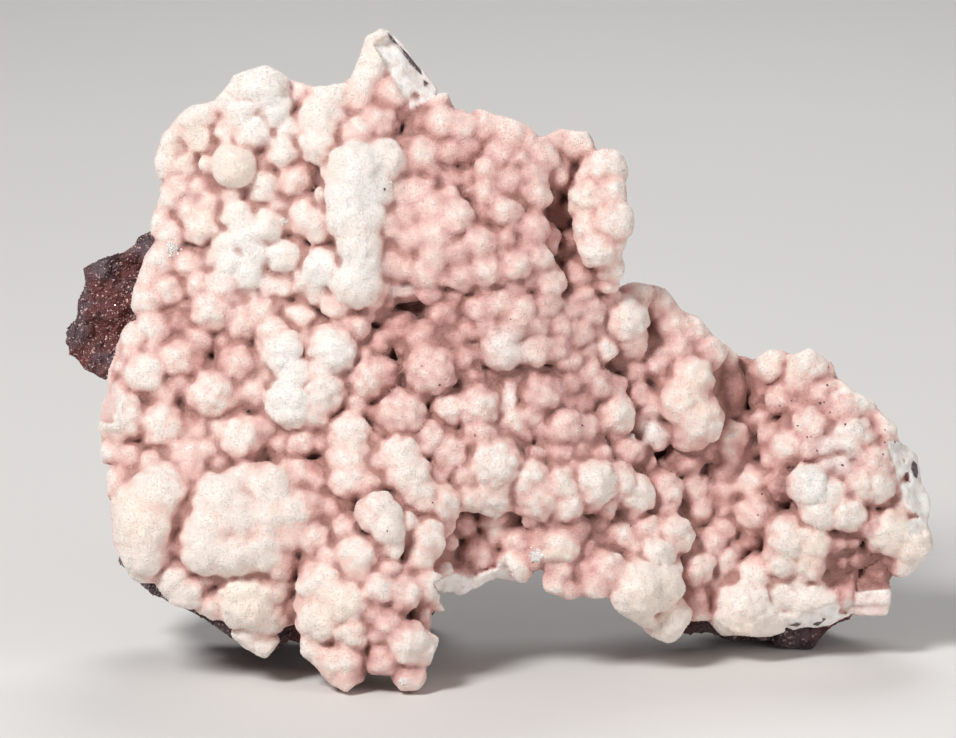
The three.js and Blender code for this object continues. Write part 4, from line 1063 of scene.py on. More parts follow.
def made_plain(obj):
    """The object with its modifiers taken into its mesh."""
    graph = bpy.context.evaluated_depsgraph_get()
    graph.update()
    evaluated = obj.evaluated_get(graph)
    mesh = bpy.data.meshes.new_from_object(evaluated, preserve_all_data_layers=True, depsgraph=graph)
    old = obj.data
    obj.modifiers.clear()
    obj.data = mesh
    bpy.data.meshes.remove(old)
    mesh.name = obj.name
    return obj


def triangle_count(mesh):
    """How many triangles a mesh's faces come to."""
    return sum(len(face.vertices) - 2 for face in mesh.polygons)


# ---- Materials ----

def linear(color):
    """A colour as seen on a screen, as the shader takes it, by the usual curve of screens."""
    return tuple(((c + 0.055) / 1.055) ** 2.4 if c > 0.04045 else c / 12.92 for c in color[:3]) + (1,)


class Tree:
    """Short ways to add and join a node tree's nodes."""

    def __init__(self, tree):
        self.tree = tree

    def add(self, kind, inputs=None, **values):
        node = self.tree.nodes.new(kind)
        for key, value in values.items():
            setattr(node, key, value)
        for key, value in (inputs or {}).items():
            socket = node.inputs[key]
            if isinstance(value, bpy.types.NodeSocket):
                self.tree.links.new(value, socket)
            else:
                socket.default_value = value
        return node

    def math(self, operation, a, b=0.0, clamp=False):
        return self.add("ShaderNodeMath", {0: a, 1: b}, operation=operation, use_clamp=clamp).outputs[0]

    def mix(self, share, a, b):
        """Colour a, with a share of colour b."""
        return self.add("ShaderNodeMix", {0: share, 6: a, 7: b}, data_type="RGBA").outputs[2]

    def ramp(self, share, stops):
        """The colour at a share from 0 to 1, between stops of a place and a colour."""
        node = self.add("ShaderNodeValToRGB", {"Fac": share})
        elements = node.color_ramp.elements
        while len(elements) < len(stops):
            elements.new(0.5)
        for element, (place, color) in zip(elements, stops):
            element.position = place
            element.color = color
        return node.outputs["Color"]

    def between(self, value, low, high):
        """A value from 0 at low to 1 at high, easing in and out."""
        return self.add("ShaderNodeMapRange", {"Value": value, "From Min": low, "From Max": high},
                        interpolation_type="SMOOTHSTEP").outputs["Result"]

    def noise(self, place, size, detail=3.0, roughness=0.6):
        """Noise with features of a size in metres."""
        return self.add("ShaderNodeTexNoise", {"Vector": place, "Scale": 1 / size, "Detail": detail,
                                               "Roughness": roughness}).outputs["Fac"]


def node_group(name, inputs, outputs):
    """An empty shader group with named float or colour sockets, its Tree, and its two ends."""
    group = bpy.data.node_groups.new(name, "ShaderNodeTree")
    for label, (kind, default) in inputs.items():
        socket = group.interface.new_socket(label, in_out="INPUT", socket_type=kind)
        if default is not None:
            socket.default_value = default
    for label, kind in outputs.items():
        group.interface.new_socket(label, in_out="OUTPUT", socket_type=kind)
    tree = Tree(group)
    return group, tree, tree.add("NodeGroupInput").outputs, tree.add("NodeGroupOutput").inputs


# The calcite's tone: the sizes in metres and the strengths of its blotches and flecks, and where its
# colours lie from the deepest tone to the palest.
BLOTCH_SIZE, BLOTCH_STRENGTH = 5 * MM, 0.34
FLECK_SIZE, FLECK_STRENGTH = 1.1 * MM, 0.30
TONE_STOPS = {"rose": 0.0, "dusky": 0.22, "pink": 0.45, "cream": 0.70, "white": 0.92}
# The strengths of the cool and warm patches, and the tones over which the warm ones come in.
COOL_STRENGTH, WARM_STRENGTH = 0.6, 0.5
WARM_TONES = (0.2, 0.9)
# The hollowness over which the creases' painted shade comes in, its strength, and the same for the
# crevices' deeper painted shade.
CREASE_SHADE_RANGE, CREASE_SHADE_STRENGTH = (0.03, 0.28), 0.9
CREVICE_SHADE_RANGE = (0.28, 0.56)
# Broken calcite: the size and the range of its worn patches.
WORN_SIZE, WORN_RANGE = 1.8 * MM, (0.42, 0.7)
# The sugary surface: the coarse crystals' size and strength against the fine ones.
COARSE_SCALE, COARSE_STRENGTH = 0.42, 0.8
BUMP_STRENGTH = 0.8
# The calcite's crystals differ this much in roughness, half of it either way.
CALCITE_ROUGHNESS_SWING = 0.24
# The rock: its grey patches, its dark grains, its painted glints, pale flecks in the colour, and how much the
# glints lower the roughness.
GREY_SIZE, GREY_RANGE = 9 * MM, (0.42, 0.62)
DARK_SIZE, DARK_RANGE = 2.5 * MM, (0.5, 0.72)
GLINT_WIDTH, GLINT_STRENGTH = 0.08, 0.75
ROCK_ROUGHER, ROCK_ROUGHNESS_SWING = 0.15, 0.4


def tint_group():
    """Calcite's colour by tone: rose in the hollows and white on the tips, partly painted shade and light,
    and painted shade in the creases.
    """
    look = settings().looks
    group, tree, given, out = node_group(
        "calcite_tint",
        {"Place": ("NodeSocketVector", None), "Tone": ("NodeSocketFloat", 0.5),
         "Cavity": ("NodeSocketFloat", 0.0), "Cool": ("NodeSocketFloat", 0.0),
         "Warm": ("NodeSocketFloat", 0.0)},
        {"Color": "NodeSocketColor"})
    place = given["Place"]
    blotch = tree.math("SUBTRACT", tree.noise(place, BLOTCH_SIZE), 0.5)
    fleck = tree.math("SUBTRACT", tree.noise(place, FLECK_SIZE, detail=4), 0.5)
    tone = tree.math("ADD", given["Tone"], tree.math("MULTIPLY", blotch, BLOTCH_STRENGTH))
    tone = tree.math("ADD", tone, tree.math("MULTIPLY", fleck, FLECK_STRENGTH), clamp=True)
    color = tree.ramp(tone, [(stop, linear(getattr(look, name))) for name, stop in TONE_STOPS.items()])
    color = tree.mix(tree.math("MULTIPLY", given["Cool"], COOL_STRENGTH), color, linear(look.cool))
    warm = tree.math("MULTIPLY", given["Warm"], tree.between(tone, *WARM_TONES))
    color = tree.mix(tree.math("MULTIPLY", warm, WARM_STRENGTH), color, linear(look.warm))
    # Painted shade: the creases, and deeper down the crevices, darkened by the crust's hollowness.
    crease = tree.math("MULTIPLY", tree.between(given["Cavity"], *CREASE_SHADE_RANGE), CREASE_SHADE_STRENGTH)
    color = tree.mix(crease, color, linear(look.crease))
    color = tree.mix(tree.between(given["Cavity"], *CREVICE_SHADE_RANGE), color, linear(look.crevice_shade))
    tree.tree.links.new(color, out["Color"])
    return group


def grain_group():
    """Height of a sugary surface, with crystals of a size in metres."""
    group, tree, given, out = node_group(
        "sugar_grain",
        {"Place": ("NodeSocketVector", None), "Size": ("NodeSocketFloat", 0.0004)},
        {"Height": "NodeSocketFloat", "Sparkle": "NodeSocketFloat"})
    scale = tree.math("DIVIDE", 1.0, given["Size"])
    fine = tree.add("ShaderNodeTexVoronoi", {"Vector": given["Place"], "Scale": scale})
    coarse = tree.add("ShaderNodeTexVoronoi", {"Vector": given["Place"],
                                               "Scale": tree.math("MULTIPLY", scale, COARSE_SCALE)})
    height = tree.math("SUBTRACT", 1.0, fine.outputs["Distance"])
    low = tree.math("MULTIPLY", coarse.outputs["Distance"], COARSE_STRENGTH)
    height = tree.math("SUBTRACT", height, low)
    tree.tree.links.new(height, out["Height"])
    split = tree.add("ShaderNodeSeparateColor", {"Color": fine.outputs["Color"]})
    tree.tree.links.new(split.outputs[0], out["Sparkle"])
    return group


def shared_group(name, maker):
    """A shader group by its name, made when it is first asked for."""
    return bpy.data.node_groups.get(name) or maker()


def new_material(name):
    """A new material, its Tree, its shader, and the place on the object."""
    material = bpy.data.materials.new(name)
    material.use_nodes = True
    nodes = material.node_tree.nodes
    shader = next(node for node in nodes if node.type == "BSDF_PRINCIPLED")
    tree = Tree(material.node_tree)
    place = tree.add("ShaderNodeTexCoord").outputs["Object"]
    return material, tree, shader, place


def attribute(tree, name):
    """The number that a mesh's points have under a name."""
    return tree.add("ShaderNodeAttribute", attribute_name=name).outputs["Fac"]


def calcite_material(name, grain_size, lighter=0.0, roughness=0.6, bump=0.00007, sheen=0.25):
    """Sugary calcite, coloured by the tone and patches of its points, with painted shade in its hollows, and
    white where broken.
    """
    material, tree, shader, place = new_material(name)
    link = tree.tree.links.new
    tint = tree.add("ShaderNodeGroup", node_tree=shared_group("calcite_tint", tint_group))
    grain = tree.add("ShaderNodeGroup", node_tree=shared_group("sugar_grain", grain_group))
    link(place, tint.inputs["Place"])
    link(tree.math("ADD", attribute(tree, "tone"), lighter), tint.inputs["Tone"])
    for label in ("Cavity", "Cool", "Warm"):
        link(attribute(tree, label.lower()), tint.inputs[label])
    link(place, grain.inputs["Place"])
    grain.inputs["Size"].default_value = grain_size
    worn = tree.between(tree.noise(place, WORN_SIZE, detail=4), *WORN_RANGE)
    fresh = tree.mix(worn, linear(settings().looks.broken), linear(settings().looks.worn))
    color = tree.mix(attribute(tree, "broken"), tint.outputs["Color"], fresh)
    link(color, shader.inputs["Base Color"])
    swing = tree.math("MULTIPLY", grain.outputs["Sparkle"], CALCITE_ROUGHNESS_SWING)
    rough = tree.math("ADD", roughness - CALCITE_ROUGHNESS_SWING / 2, swing)
    link(rough, shader.inputs["Roughness"])
    height = tree.math("MULTIPLY", grain.outputs["Height"], bump)
    bumped = tree.add("ShaderNodeBump", {"Height": height, "Strength": BUMP_STRENGTH, "Distance": 1.0})
    link(bumped.outputs["Normal"], shader.inputs["Normal"])
    shader.inputs["Subsurface Weight"].default_value = 0.3
    shader.inputs["Subsurface Radius"].default_value = (1.0, 0.55, 0.45)
    shader.inputs["Subsurface Scale"].default_value = 0.0014
    shader.inputs["Sheen Weight"].default_value = sheen
    shader.inputs["Sheen Roughness"].default_value = 0.5
    shader.inputs["IOR"].default_value = 1.5
    return material


def rock_material(name, grain_size, bump=0.0003, roughness=0.5, glints=0.9, base="rock"):
    """Dark, grainy rock with grey patches, and glints painted into its colour as pale, smoother flecks."""
    look = settings().looks
    material, tree, shader, place = new_material(name)
    link = tree.tree.links.new
    grain = tree.add("ShaderNodeGroup", node_tree=shared_group("sugar_grain", grain_group))
    link(place, grain.inputs["Place"])
    grain.inputs["Size"].default_value = grain_size
    patch = tree.between(tree.noise(place, GREY_SIZE, detail=4), *GREY_RANGE)
    patch = tree.math("MAXIMUM", patch, attribute(tree, "grey"))
    color = tree.mix(patch, linear(getattr(look, base)), linear(look.rock_grey))
    dark = tree.between(tree.noise(place, DARK_SIZE, detail=5), *DARK_RANGE)
    color = tree.mix(dark, color, linear(look.rock_dark))
    # Painted glints: pale flecks in the base colour on a share of the grain's cells.
    glint = tree.between(grain.outputs["Sparkle"], glints, glints + GLINT_WIDTH)
    color = tree.mix(tree.math("MULTIPLY", glint, GLINT_STRENGTH), color, linear(look.glint))
    link(color, shader.inputs["Base Color"])
    swing = tree.math("MULTIPLY", grain.outputs["Sparkle"], ROCK_ROUGHNESS_SWING)
    rough = tree.math("SUBTRACT", roughness + ROCK_ROUGHER, swing)
    link(rough, shader.inputs["Roughness"])
    bumped = tree.add("ShaderNodeBump", {"Height": grain.outputs["Height"], "Strength": BUMP_STRENGTH,
                                         "Distance": bump})
    link(bumped.outputs["Normal"], shader.inputs["Normal"])
    return material


# ---- Geometry Nodes: crystals that stand on a surface ----

def scatter_tree():
    """Crystal tips over a mesh: spaced apart, leaning at random from the surface, and of random size."""
    tree_data = bpy.data.node_groups.new("crystal_scatter", "GeometryNodeTree")
    face = tree_data.interface
    face.new_socket("Geometry", in_out="INPUT", socket_type="NodeSocketGeometry")
    for label, kind in (("Spacing", "Float"), ("Density", "Float"), ("From X", "Float"), ("To X", "Float"),
                        ("Width", "Float"), ("Height", "Float"), ("Lean", "Float"), ("Sides", "Int"),
                        ("Seed", "Int"), ("Material", "Material")):
        face.new_socket(label, in_out="INPUT", socket_type="NodeSocket" + kind)
    face.new_socket("Geometry", in_out="OUTPUT", socket_type="NodeSocketGeometry")
    tree = Tree(tree_data)
    given = tree.add("NodeGroupInput").outputs

    x = tree.add("ShaderNodeSeparateXYZ", {0: tree.add("GeometryNodeInputPosition").outputs[0]}).outputs["X"]
    after = tree.math("GREATER_THAN", x, given["From X"])
    before = tree.math("LESS_THAN", x, given["To X"])
    share = tree.add("GeometryNodeInputNamedAttribute", {"Name": "druse"}, data_type="FLOAT").outputs[0]
    share = tree.math("MULTIPLY", share, tree.math("MULTIPLY", after, before))
    points = tree.add("GeometryNodeDistributePointsOnFaces", {
        "Mesh": given["Geometry"], "Distance Min": given["Spacing"], "Density Max": given["Density"],
        "Density Factor": share, "Seed": given["Seed"]}, distribute_method="POISSON")

    tip = tree.add("GeometryNodeMeshCone", {"Vertices": given["Sides"], "Radius Top": 0.0,
                                            "Radius Bottom": given["Width"], "Depth": given["Height"]},
                   fill_type="NGON")
    sunk = tree.add("ShaderNodeCombineXYZ", {"Z": tree.math("MULTIPLY", given["Height"], CRYSTAL_SINK)})
    low = tree.add("GeometryNodeTransform", {"Geometry": tip.outputs["Mesh"],
                                             "Translation": sunk.outputs[0]})
    lean = given["Lean"]
    back = tree.math("MULTIPLY", lean, -1.0)
    least = tree.add("ShaderNodeCombineXYZ", {"X": back, "Y": back, "Z": 0.0}).outputs[0]
    most = tree.add("ShaderNodeCombineXYZ", {"X": lean, "Y": lean, "Z": math.tau}).outputs[0]
    turn = tree.add("FunctionNodeRandomValue", {0: least, 1: most, "Seed": given["Seed"]},
                    data_type="FLOAT_VECTOR")
    turned = tree.add("FunctionNodeRotateRotation", {
        "Rotation": points.outputs["Rotation"], "Rotate By": turn.outputs[0]}, rotation_space="LOCAL")
    size = tree.add("FunctionNodeRandomValue",
                    {2: CRYSTAL_SCALES[0], 3: CRYSTAL_SCALES[1], "Seed": given["Seed"]}, data_type="FLOAT")
    grown = tree.add("GeometryNodeInstanceOnPoints", {
        "Points": points.outputs["Points"], "Instance": low.outputs[0],
        "Rotation": turned.outputs[0], "Scale": size.outputs[1]})
    real = tree.add("GeometryNodeRealizeInstances", {"Geometry": grown.outputs[0]})
    flat = tree.add("GeometryNodeSetShadeSmooth", {"Geometry": real.outputs[0], "Shade Smooth": False})
    painted = tree.add("GeometryNodeSetMaterial", {"Geometry": flat.outputs[0],
                                                   "Material": given["Material"]})
    tree.add("NodeGroupOutput", {0: painted.outputs[0]})
    return tree_data


def grow(name, ground, **inputs):
    """A plain mesh of crystals standing on an object, from the scatter tree and its named inputs."""
    tree = bpy.data.node_groups.get("crystal_scatter") or scatter_tree()
    obj = new_object(name, ground.data.copy())
    modifier = obj.modifiers.new("crystals", "NODES")
    modifier.node_group = tree
    identifiers = {item.name: item.identifier for item in tree.interface.items_tree
                   if item.in_out == "INPUT"}
    for label, value in inputs.items():
        modifier[identifiers[label.replace("_", " ")]] = value
    return made_plain(obj)


# ---- Operators ----

class SPECIMEN_OT_crust(bpy.types.Operator):
    """Shapes the calcite crust, lump by lump, and colours it by its lumps, with painted shade in its hollows
    """
    bl_idname = "specimen.crust"
    bl_label = "Calcite crust"

    def execute(self, context):
        crust = settings().crust
        step = crust.step / MM * cell_factor()
        lumps = fill_gaps(named_lumps(), crust)
        field, sheet, centres = crust_field(lumps, crust, step)
        points, quads = largest_part(*skin(field))

        solid = (field.values < 0).astype(np.float32)
        near = sampled(field, blurred(solid, int(round(NEAR_REACH / step))), points) - 0.5
        wide = sampled(field, blurred(solid, int(round(WIDE_REACH / step))), points) - 0.5
        raised = points[:, 2] - sampled_flat(field, sheet, points)
        tone = sampled_tone(field, lumps, centres, sheet, points)
        # Painted light and shade in the tone: raised places a little paler, partly as painted light, and
        # hollow places, the soft hollows among them, darker as painted shade.
        tone += (HEIGHT_PALER_AND_LIT * np.clip(raised - MIDDLE_HEIGHT, *HEIGHT_RANGE)
                 - NEAR_PAINTED_SHADE * np.clip(near, NEAR_LEAST, 1) - WIDE_PAINTED_SHADE * wide)
        tone -= HOLLOW_PAINTED_SHADE * patches(points, HOLLOWS)
        contact = relief(points[:, 0], points[:, 1], narrow=False) - CRUST_THICKNESS - crust.embed
        hidden = points[:, 2] - contact < HIDDEN_DEPTH
        broken = np.maximum.reduce((
            broken_share(points), WALL_FRESHNESS * wall_share(points, raised), block_share(points),
            CRYSTAL_FRESHNESS * patches(points, [row[:3] for row in CRYSTALS])))
        # cavity carries the hollowness to the material, which paints shade with it into the creases and
        # crevices.
        cavity = np.clip(near + WIDE_PAINTED_SHADE * wide, 0, 1) * (1 - broken)

        grounded = to_world(points)[:, 2] < GROUNDED
        placed = to_world(warped(points, CRUST_WARP, seed=81))
        placed[:, 2] = np.where(grounded, 0, np.maximum(placed[:, 2], 0))
        bare = hidden | (placed[:, 2] < DRUSE_CLEARANCE * settings().druse.height)
        obj = mesh_object("calcite_crust_lumps", placed, quads, tone=tone, cavity=cavity,
                          cool=patches(points, COOL_PATCHES), warm=patches(points, WARM_PATCHES),
                          broken=broken, druse=np.where(bare, 0.0, 1 - broken))
        coarsen(obj, hidden, crust.triangles)
        roughen_points(obj.data, CRUST_ROUGHNESS, seed=21)
        roughen_broken(obj.data, seed=25)
        obj.data.shade_smooth()
        obj.data.materials.append(calcite_material("calcite_lumps", grain_size=0.00045))
        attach(obj, "root")
        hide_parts("calcite_crust")
        return {"FINISHED"}


def wall_share(points, raised):
    """1 on the crust's broken rim, 0 elsewhere."""
    edge = outline_distance(points[:, 0], points[:, 1])
    deep = np.clip(-raised - WALL_START, 0, None)
    near = np.clip((edge + WALL_WIDTH + settings().crust.undercut * deep) / WALL_FADE, 0, 1)
    return near * np.clip(deep / WALL_FADE, 0, 1)


def fading(distance, start, width):
    """A share that falls from its start with the distance, over a width, kept between 0 and 1."""
    return np.clip(start - distance / width, 0, 1)


def block_share(points):
    """1 on the broken blocks, 0 elsewhere."""
    share = np.zeros(len(points))
    for x, v, width, height, thick, rise, turn, fresh in BLOCKS.values():
        along, up = math.cos(math.radians(turn)), math.sin(math.radians(turn))
        off_x, off_v = points[:, 0] - x, points[:, 1] - v
        across = np.abs(off_x * along + off_v * up) - width / 2
        high = np.abs(off_v * along - off_x * up) - height / 2
        deep = relief(x, v) + rise - thick * BLOCK_DEPTH - points[:, 2]
        inside = fading(np.maximum.reduce((across, high, deep)), *BLOCK_FADE)
        share = np.maximum(share, fresh * inside)
    return share


def roughen_broken(mesh, seed):
    """Breaks up the broken faces with coarser noise than the lumps have."""
    broken = np.empty(len(mesh.vertices), dtype=np.float32)
    mesh.attributes["broken"].data.foreach_get("value", broken)
    points = coordinates(mesh)
    shift = layered(points / MM, BROKEN_ROUGHNESS, seed) * broken
    move_points(mesh, points + normals(mesh) * shift[:, None] * MM)


def coarsen(obj, hidden, most):
    """Evens out a mesh, then collapses most of what the rock hides, and all of it to a count of triangles."""
    smooth = obj.modifiers.new("smoother", "SMOOTH")
    smooth.factor = SMOOTHING
    smooth.iterations = 1
    made_plain(obj)
    group = obj.vertex_groups.new(name="hidden")
    group.add(np.flatnonzero(hidden).tolist(), 1.0, "REPLACE")
    decimate = obj.modifiers.new("coarser", "DECIMATE")
    decimate.ratio = 1 - HIDDEN_CUT * hidden.mean()
    decimate.vertex_group = group.name
    made_plain(obj)
    obj.vertex_groups.clear()
    count = triangle_count(obj.data)
    if count > most:
        decimate = obj.modifiers.new("coarser", "DECIMATE")
        decimate.ratio = most / count
        made_plain(obj)


def sampled_flat(field, values, points):
    """Values over the face at points, from the nearest column of the grid."""
    place = np.rint((points[:, :2] - field.low[:2]) / field.step).astype(int)
    place = np.clip(place, 0, np.array(values.shape) - 1)
    return values[tuple(place.T)]


def sampled_tone(field, lumps, centres, sheet, points):
    """Tone at points, from the lump that stands highest over each place of the face."""
    x, v = field.flat()
    height = sheet.copy()
    tone = np.full(x.shape, np.nan)
    total = np.zeros(x.shape)
    weight = np.full(x.shape, TINY)
    for (lump_x, lump_v, radius, _, own, *_), centre in zip(lumps, centres):
        off2 = ((x - lump_x) ** 2 + (v - lump_v) ** 2) / radius ** 2
        spread = np.exp(-off2 * TONE_SPREAD)
        total += own * spread
        weight += spread
        dome = np.where(off2 < 1, centre + radius * np.sqrt(np.maximum(1 - off2, 0)), -np.inf)
        top = dome > height
        tone[top] = own
        height[top] = dome[top]
    around = total / weight
    tone = np.where(np.isnan(tone), around - GAP_DARKER, tone * OWN_TONE + around * (1 - OWN_TONE))
    for axis in (0, 1):
        tone = (np.roll(tone, 1, axis) + 2 * tone + np.roll(tone, -1, axis)) / 4
    return sampled_flat(field, tone, points)


def patches(points, rows):
    """A share from 0 to 1 that fades out round each patch of (x, v, radius)."""
    share = np.zeros(len(points))
    for x, v, radius in rows:
        off = np.hypot(points[:, 0] - x, points[:, 1] - v) / radius
        share = np.maximum(share, np.exp(-off ** 4))
    return share


def broken_share(points):
    """1 on the broken faces, 0 elsewhere."""
    share = np.zeros(len(points))
    for broken in BREAKS.values():
        top, here, slope = break_plane(broken, points[:, 0], points[:, 1])
        off = np.abs(points[:, 2] - top) / slope
        share = np.maximum(share, broken[-1] * np.where(here, fading(off, *BREAK_FADE), 0))
    return share


def layered(points, layers, seed):
    """Layers of noise, each of a size and a reach in mm, summed at each point."""
    total = np.zeros(len(points))
    for layer, (size, reach) in enumerate(layers):
        total += noise(points, size, seed + layer) * reach
    return total


def roughen_points(mesh, layers, seed):
    """Moves points along their normals by layers of noise, but for those that stand on the floor."""
    points = coordinates(mesh)
    shift = layered(points / MM, layers, seed)
    moved = points + normals(mesh) * shift[:, None] * MM
    moved[points[:, 2] < GROUNDED, 2] = 0
    move_points(mesh, moved)


class SPECIMEN_OT_rock(bpy.types.Operator):
    """Breaks the matrix's solid into rough, angular rock"""
    bl_idname = "specimen.rock"
    bl_label = "Matrix"

    def execute(self, context):
        rock = settings().rock
        obj = new_object("matrix_rock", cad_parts["matrix"].data.copy())
        obj.data.materials.clear()
        shape = bmesh.new()
        shape.from_mesh(obj.data)
        bmesh.ops.remove_doubles(shape, verts=shape.verts, dist=TINY)
        shape.to_mesh(obj.data)
        shape.free()
        remesh = obj.modifiers.new("cells", "REMESH")
        remesh.mode = "VOXEL"
        remesh.voxel_size = rock.step * cell_factor()
        made_plain(obj)
        fracture(obj.data, rock.facet / MM, rock.facet_height / MM, seed=31)
        roughen_points(obj.data, ROCK_ROUGHNESS, seed=41)
        draw_in(obj.data)
        points = coordinates(obj.data)
        glittering = GLITTER_SHARE + GLITTER_SWING * noise(points / MM, GLITTER_PATCH, seed=51)
        above = points[:, 2] > GLITTER_START * MM
        label_points(obj.data, druse=np.clip(glittering, GLITTER_LEAST, 1) * above,
                     grey=patches(to_face(points), GREY_PATCHES))
        obj.data.shade_flat()
        obj.data.materials.append(rock_material("matrix_rock", grain_size=0.00032))
        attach(obj, "root")
        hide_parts("matrix")
        return {"FINISHED"}


def fracture(mesh, size, height, seed):
    """Tilts the surface in facets, each the part of it that is nearest to a random seed point."""
    points = coordinates(mesh) / MM
    random = np.random.default_rng(seed)
    low, high = points.min(0), points.max(0)
    count = int(np.prod((high - low) / size) * FACET_SHARE)
    seeds = random.uniform(low, high, (count, 3))
    tilts = random.normal(0, FACET_TILT / size, (count, 3)) * height
    offsets = random.uniform(-0.5, 0.5, count) * height
    shift = np.zeros(len(points))
    for part in np.array_split(np.arange(len(points)), FACET_PARTS):
        reach = ((points[part][:, None, :] - seeds[None]) ** 2).sum(2)
        order = np.argpartition(reach, 1, axis=1)[:, :2]
        gap = np.sqrt(np.take_along_axis(reach, order, axis=1))
        share = np.clip(0.5 + (gap[:, 1] - gap[:, 0]) / FACET_BLEND, 0, 1)
        for column, weight in ((0, share), (1, 1 - share)):
            seed_at = order[:, column]
            away = (tilts[seed_at] * (points[part] - seeds[seed_at])).sum(1)
            shift[part] += weight * (offsets[seed_at] + away)
    move_points(mesh, (points + normals(mesh) * shift[:, None]) * MM)


def visible_distance(x, v):
    """Distance to the outline of the whole specimen, in mm, negative inside."""
    distance = outline_distance(x, v) + ROCK_INSET
    for outline in ROCK_OUTLINES.values():
        distance = np.minimum(distance, outline_distance(x, v, outline))
    return distance


def draw_in(mesh):
    """Draws the rock in where it would show past the specimen's outline."""
    points = to_face(coordinates(mesh))
    for _ in range(DRAW_IN_PASSES):
        x, v = points[:, 0], points[:, 1]
        past = visible_distance(x, v)
        out = np.flatnonzero(past > 0)
        slope_x = (visible_distance(x[out] + NUDGE, v[out]) - past[out]) / NUDGE
        slope_v = (visible_distance(x[out], v[out] + NUDGE) - past[out]) / NUDGE
        points[out, 0] -= slope_x * past[out]
        points[out, 1] -= slope_v * past[out]
    move_points(mesh, to_world(points))


class SPECIMEN_OT_druse(bpy.types.Operator):
    """Covers the calcite with small crystal tips, in bands from left to right"""
    bl_idname = "specimen.druse"
    bl_label = "Calcite druse"

    def execute(self, context):
        druse = settings().druse
        ground = bpy.data.objects["calcite_crust_lumps"]
        material = calcite_material("calcite_druse", grain_size=0.0003, lighter=0.04, roughness=0.55,
                                    bump=0.00004, sheen=0.1)
        low, high = CAD_BOX[0][0], CAD_BOX[1][0]
        for band in range(druse.bands):
            start = low - 1 if band == 0 else low + (high - low) * band / druse.bands
            end = high + 1 if band == druse.bands - 1 else low + (high - low) * (band + 1) / druse.bands
            piece = grow(f"calcite_druse_{band + 1}", ground, Spacing=druse.spacing,
                         Density=druse.density * crystal_factor(), From_X=start, To_X=end,
                         Width=druse.width, Height=druse.height, Lean=0.35, Sides=3, Seed=60 + band,
                         Material=material)
            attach(piece, "root")
        return {"FINISHED"}


def front_depth(tree, x, v):
    """The depth at which a line from the front, at (x, v) of the face, first meets a surface, or None."""
    start, end = (Vector(point) for point in to_world([(x, v, LOOK_FROM), (x, v, LOOK_TO)]))
    point = tree.ray_cast(start, (end - start).normalized())[0]
    return None if point is None else to_face([point])[0, 2]


def front_point(tree, x, v):
    """The point (x, v, d) of a surface that lies in front at (x, v) of the face."""
    depth = front_depth(tree, x, v)
    if depth is None:
        raise RuntimeError(f"nothing at ({x}, {v}) on the face")
    return np.array((x, v, depth))


def surface_tree(name):
    """The surface of a piece, to cast lines at."""
    obj = bpy.data.objects[name]
    faces = [face.vertices[:] for face in obj.data.polygons]
    return BVHTree.FromPolygons([vertex.co for vertex in obj.data.vertices], faces)


def splinter(size, random):
    """Points and faces of a little broken block round the origin: a box with its corners knocked off."""
    shape = bmesh.new()
    for corner in np.ndindex(2, 2, 2):
        for axis in range(3):
            at = (np.array(corner) - 0.5) * random.uniform(*SPLINTER_BOX, 3)
            at[axis] *= random.uniform(*SPLINTER_CORNER)
            shape.verts.new(at * size)
    bmesh.ops.convex_hull(shape, input=shape.verts)
    bmesh.ops.delete(shape, geom=[vert for vert in shape.verts if not vert.link_faces], context="VERTS")
    shape.verts.index_update()
    points = np.array([vert.co[:] for vert in shape.verts])
    faces = [[vert.index for vert in face.verts] for face in shape.faces]
    shape.free()
    return points, faces


def joined(parts):
    """One list of points and one of faces from several of each."""
    points = np.vstack([part_points for part_points, _ in parts])
    faces = []
    start = 0
    for part_points, part_faces in parts:
        faces += [[start + index for index in face] for face in part_faces]
        start += len(part_points)
    return points, faces


class SPECIMEN_OT_crystals(bpy.types.Operator):
    """Sets the clusters of small bright crystals on the crust"""
    bl_idname = "specimen.crystals"
    bl_label = "Bright crystals"

    def execute(self, context):
        ground = surface_tree("calcite_crust_lumps")
        random = np.random.default_rng(90)
        parts = []
        for x, v, radius, count in CRYSTALS:
            for _ in range(count):
                points, faces = splinter(random.uniform(*BRIGHT_SIZES, 3), random)
                turn = Vector(random.normal(size=3)).to_track_quat("Z", "Y").to_matrix()
                place = (x, v) + random.normal(0, CRYSTAL_SPREAD, 2) * radius
                parts.append((to_world(points @ np.array(turn) + front_point(ground, *place)), faces))
        points, faces = joined(parts)
        flat = np.zeros(len(points))
        piece = mesh_object("calcite_crystals", points, faces, tone=flat + 1, cavity=flat, cool=flat,
                            broken=flat + 1)
        piece.data.materials.append(calcite_material("calcite_crystals", grain_size=0.0006, roughness=0.3,
                                                     bump=0.00005))
        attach(piece, "root")
        return {"FINISHED"}


class SPECIMEN_OT_inclusions(bpy.types.Operator):
    """Lays the dark mineral into the broken faces"""
    bl_idname = "specimen.inclusions"
    bl_label = "Dark inclusions"

    def execute(self, context):
        ground = surface_tree("calcite_crust_lumps")
        parts = []
        for outline in INCLUSIONS.values():
            edge = [(x, v, front_depth(ground, x, v)) for x, v in outline]
            edge = np.array([point for point in edge if point[2] is not None])
            top, bottom = edge + (0, 0, INCLUSION_TOP), edge - (0, 0, INCLUSION_BOTTOM)
            count = len(edge)
            sides = [(i, i + count, (i + 1) % count + count, (i + 1) % count) for i in range(count)]
            faces = [tuple(range(count)), *sides, tuple(reversed(range(count, 2 * count)))]
            parts.append((to_world(np.vstack((top, bottom))), faces))
        piece = mesh_object("dark_inclusions", *joined(parts))
        piece.data.materials.append(rock_material("dark_inclusions", grain_size=0.0004, bump=0.00002,
                                                  roughness=0.4, base="inclusion"))
        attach(piece, "root")
        return {"FINISHED"}


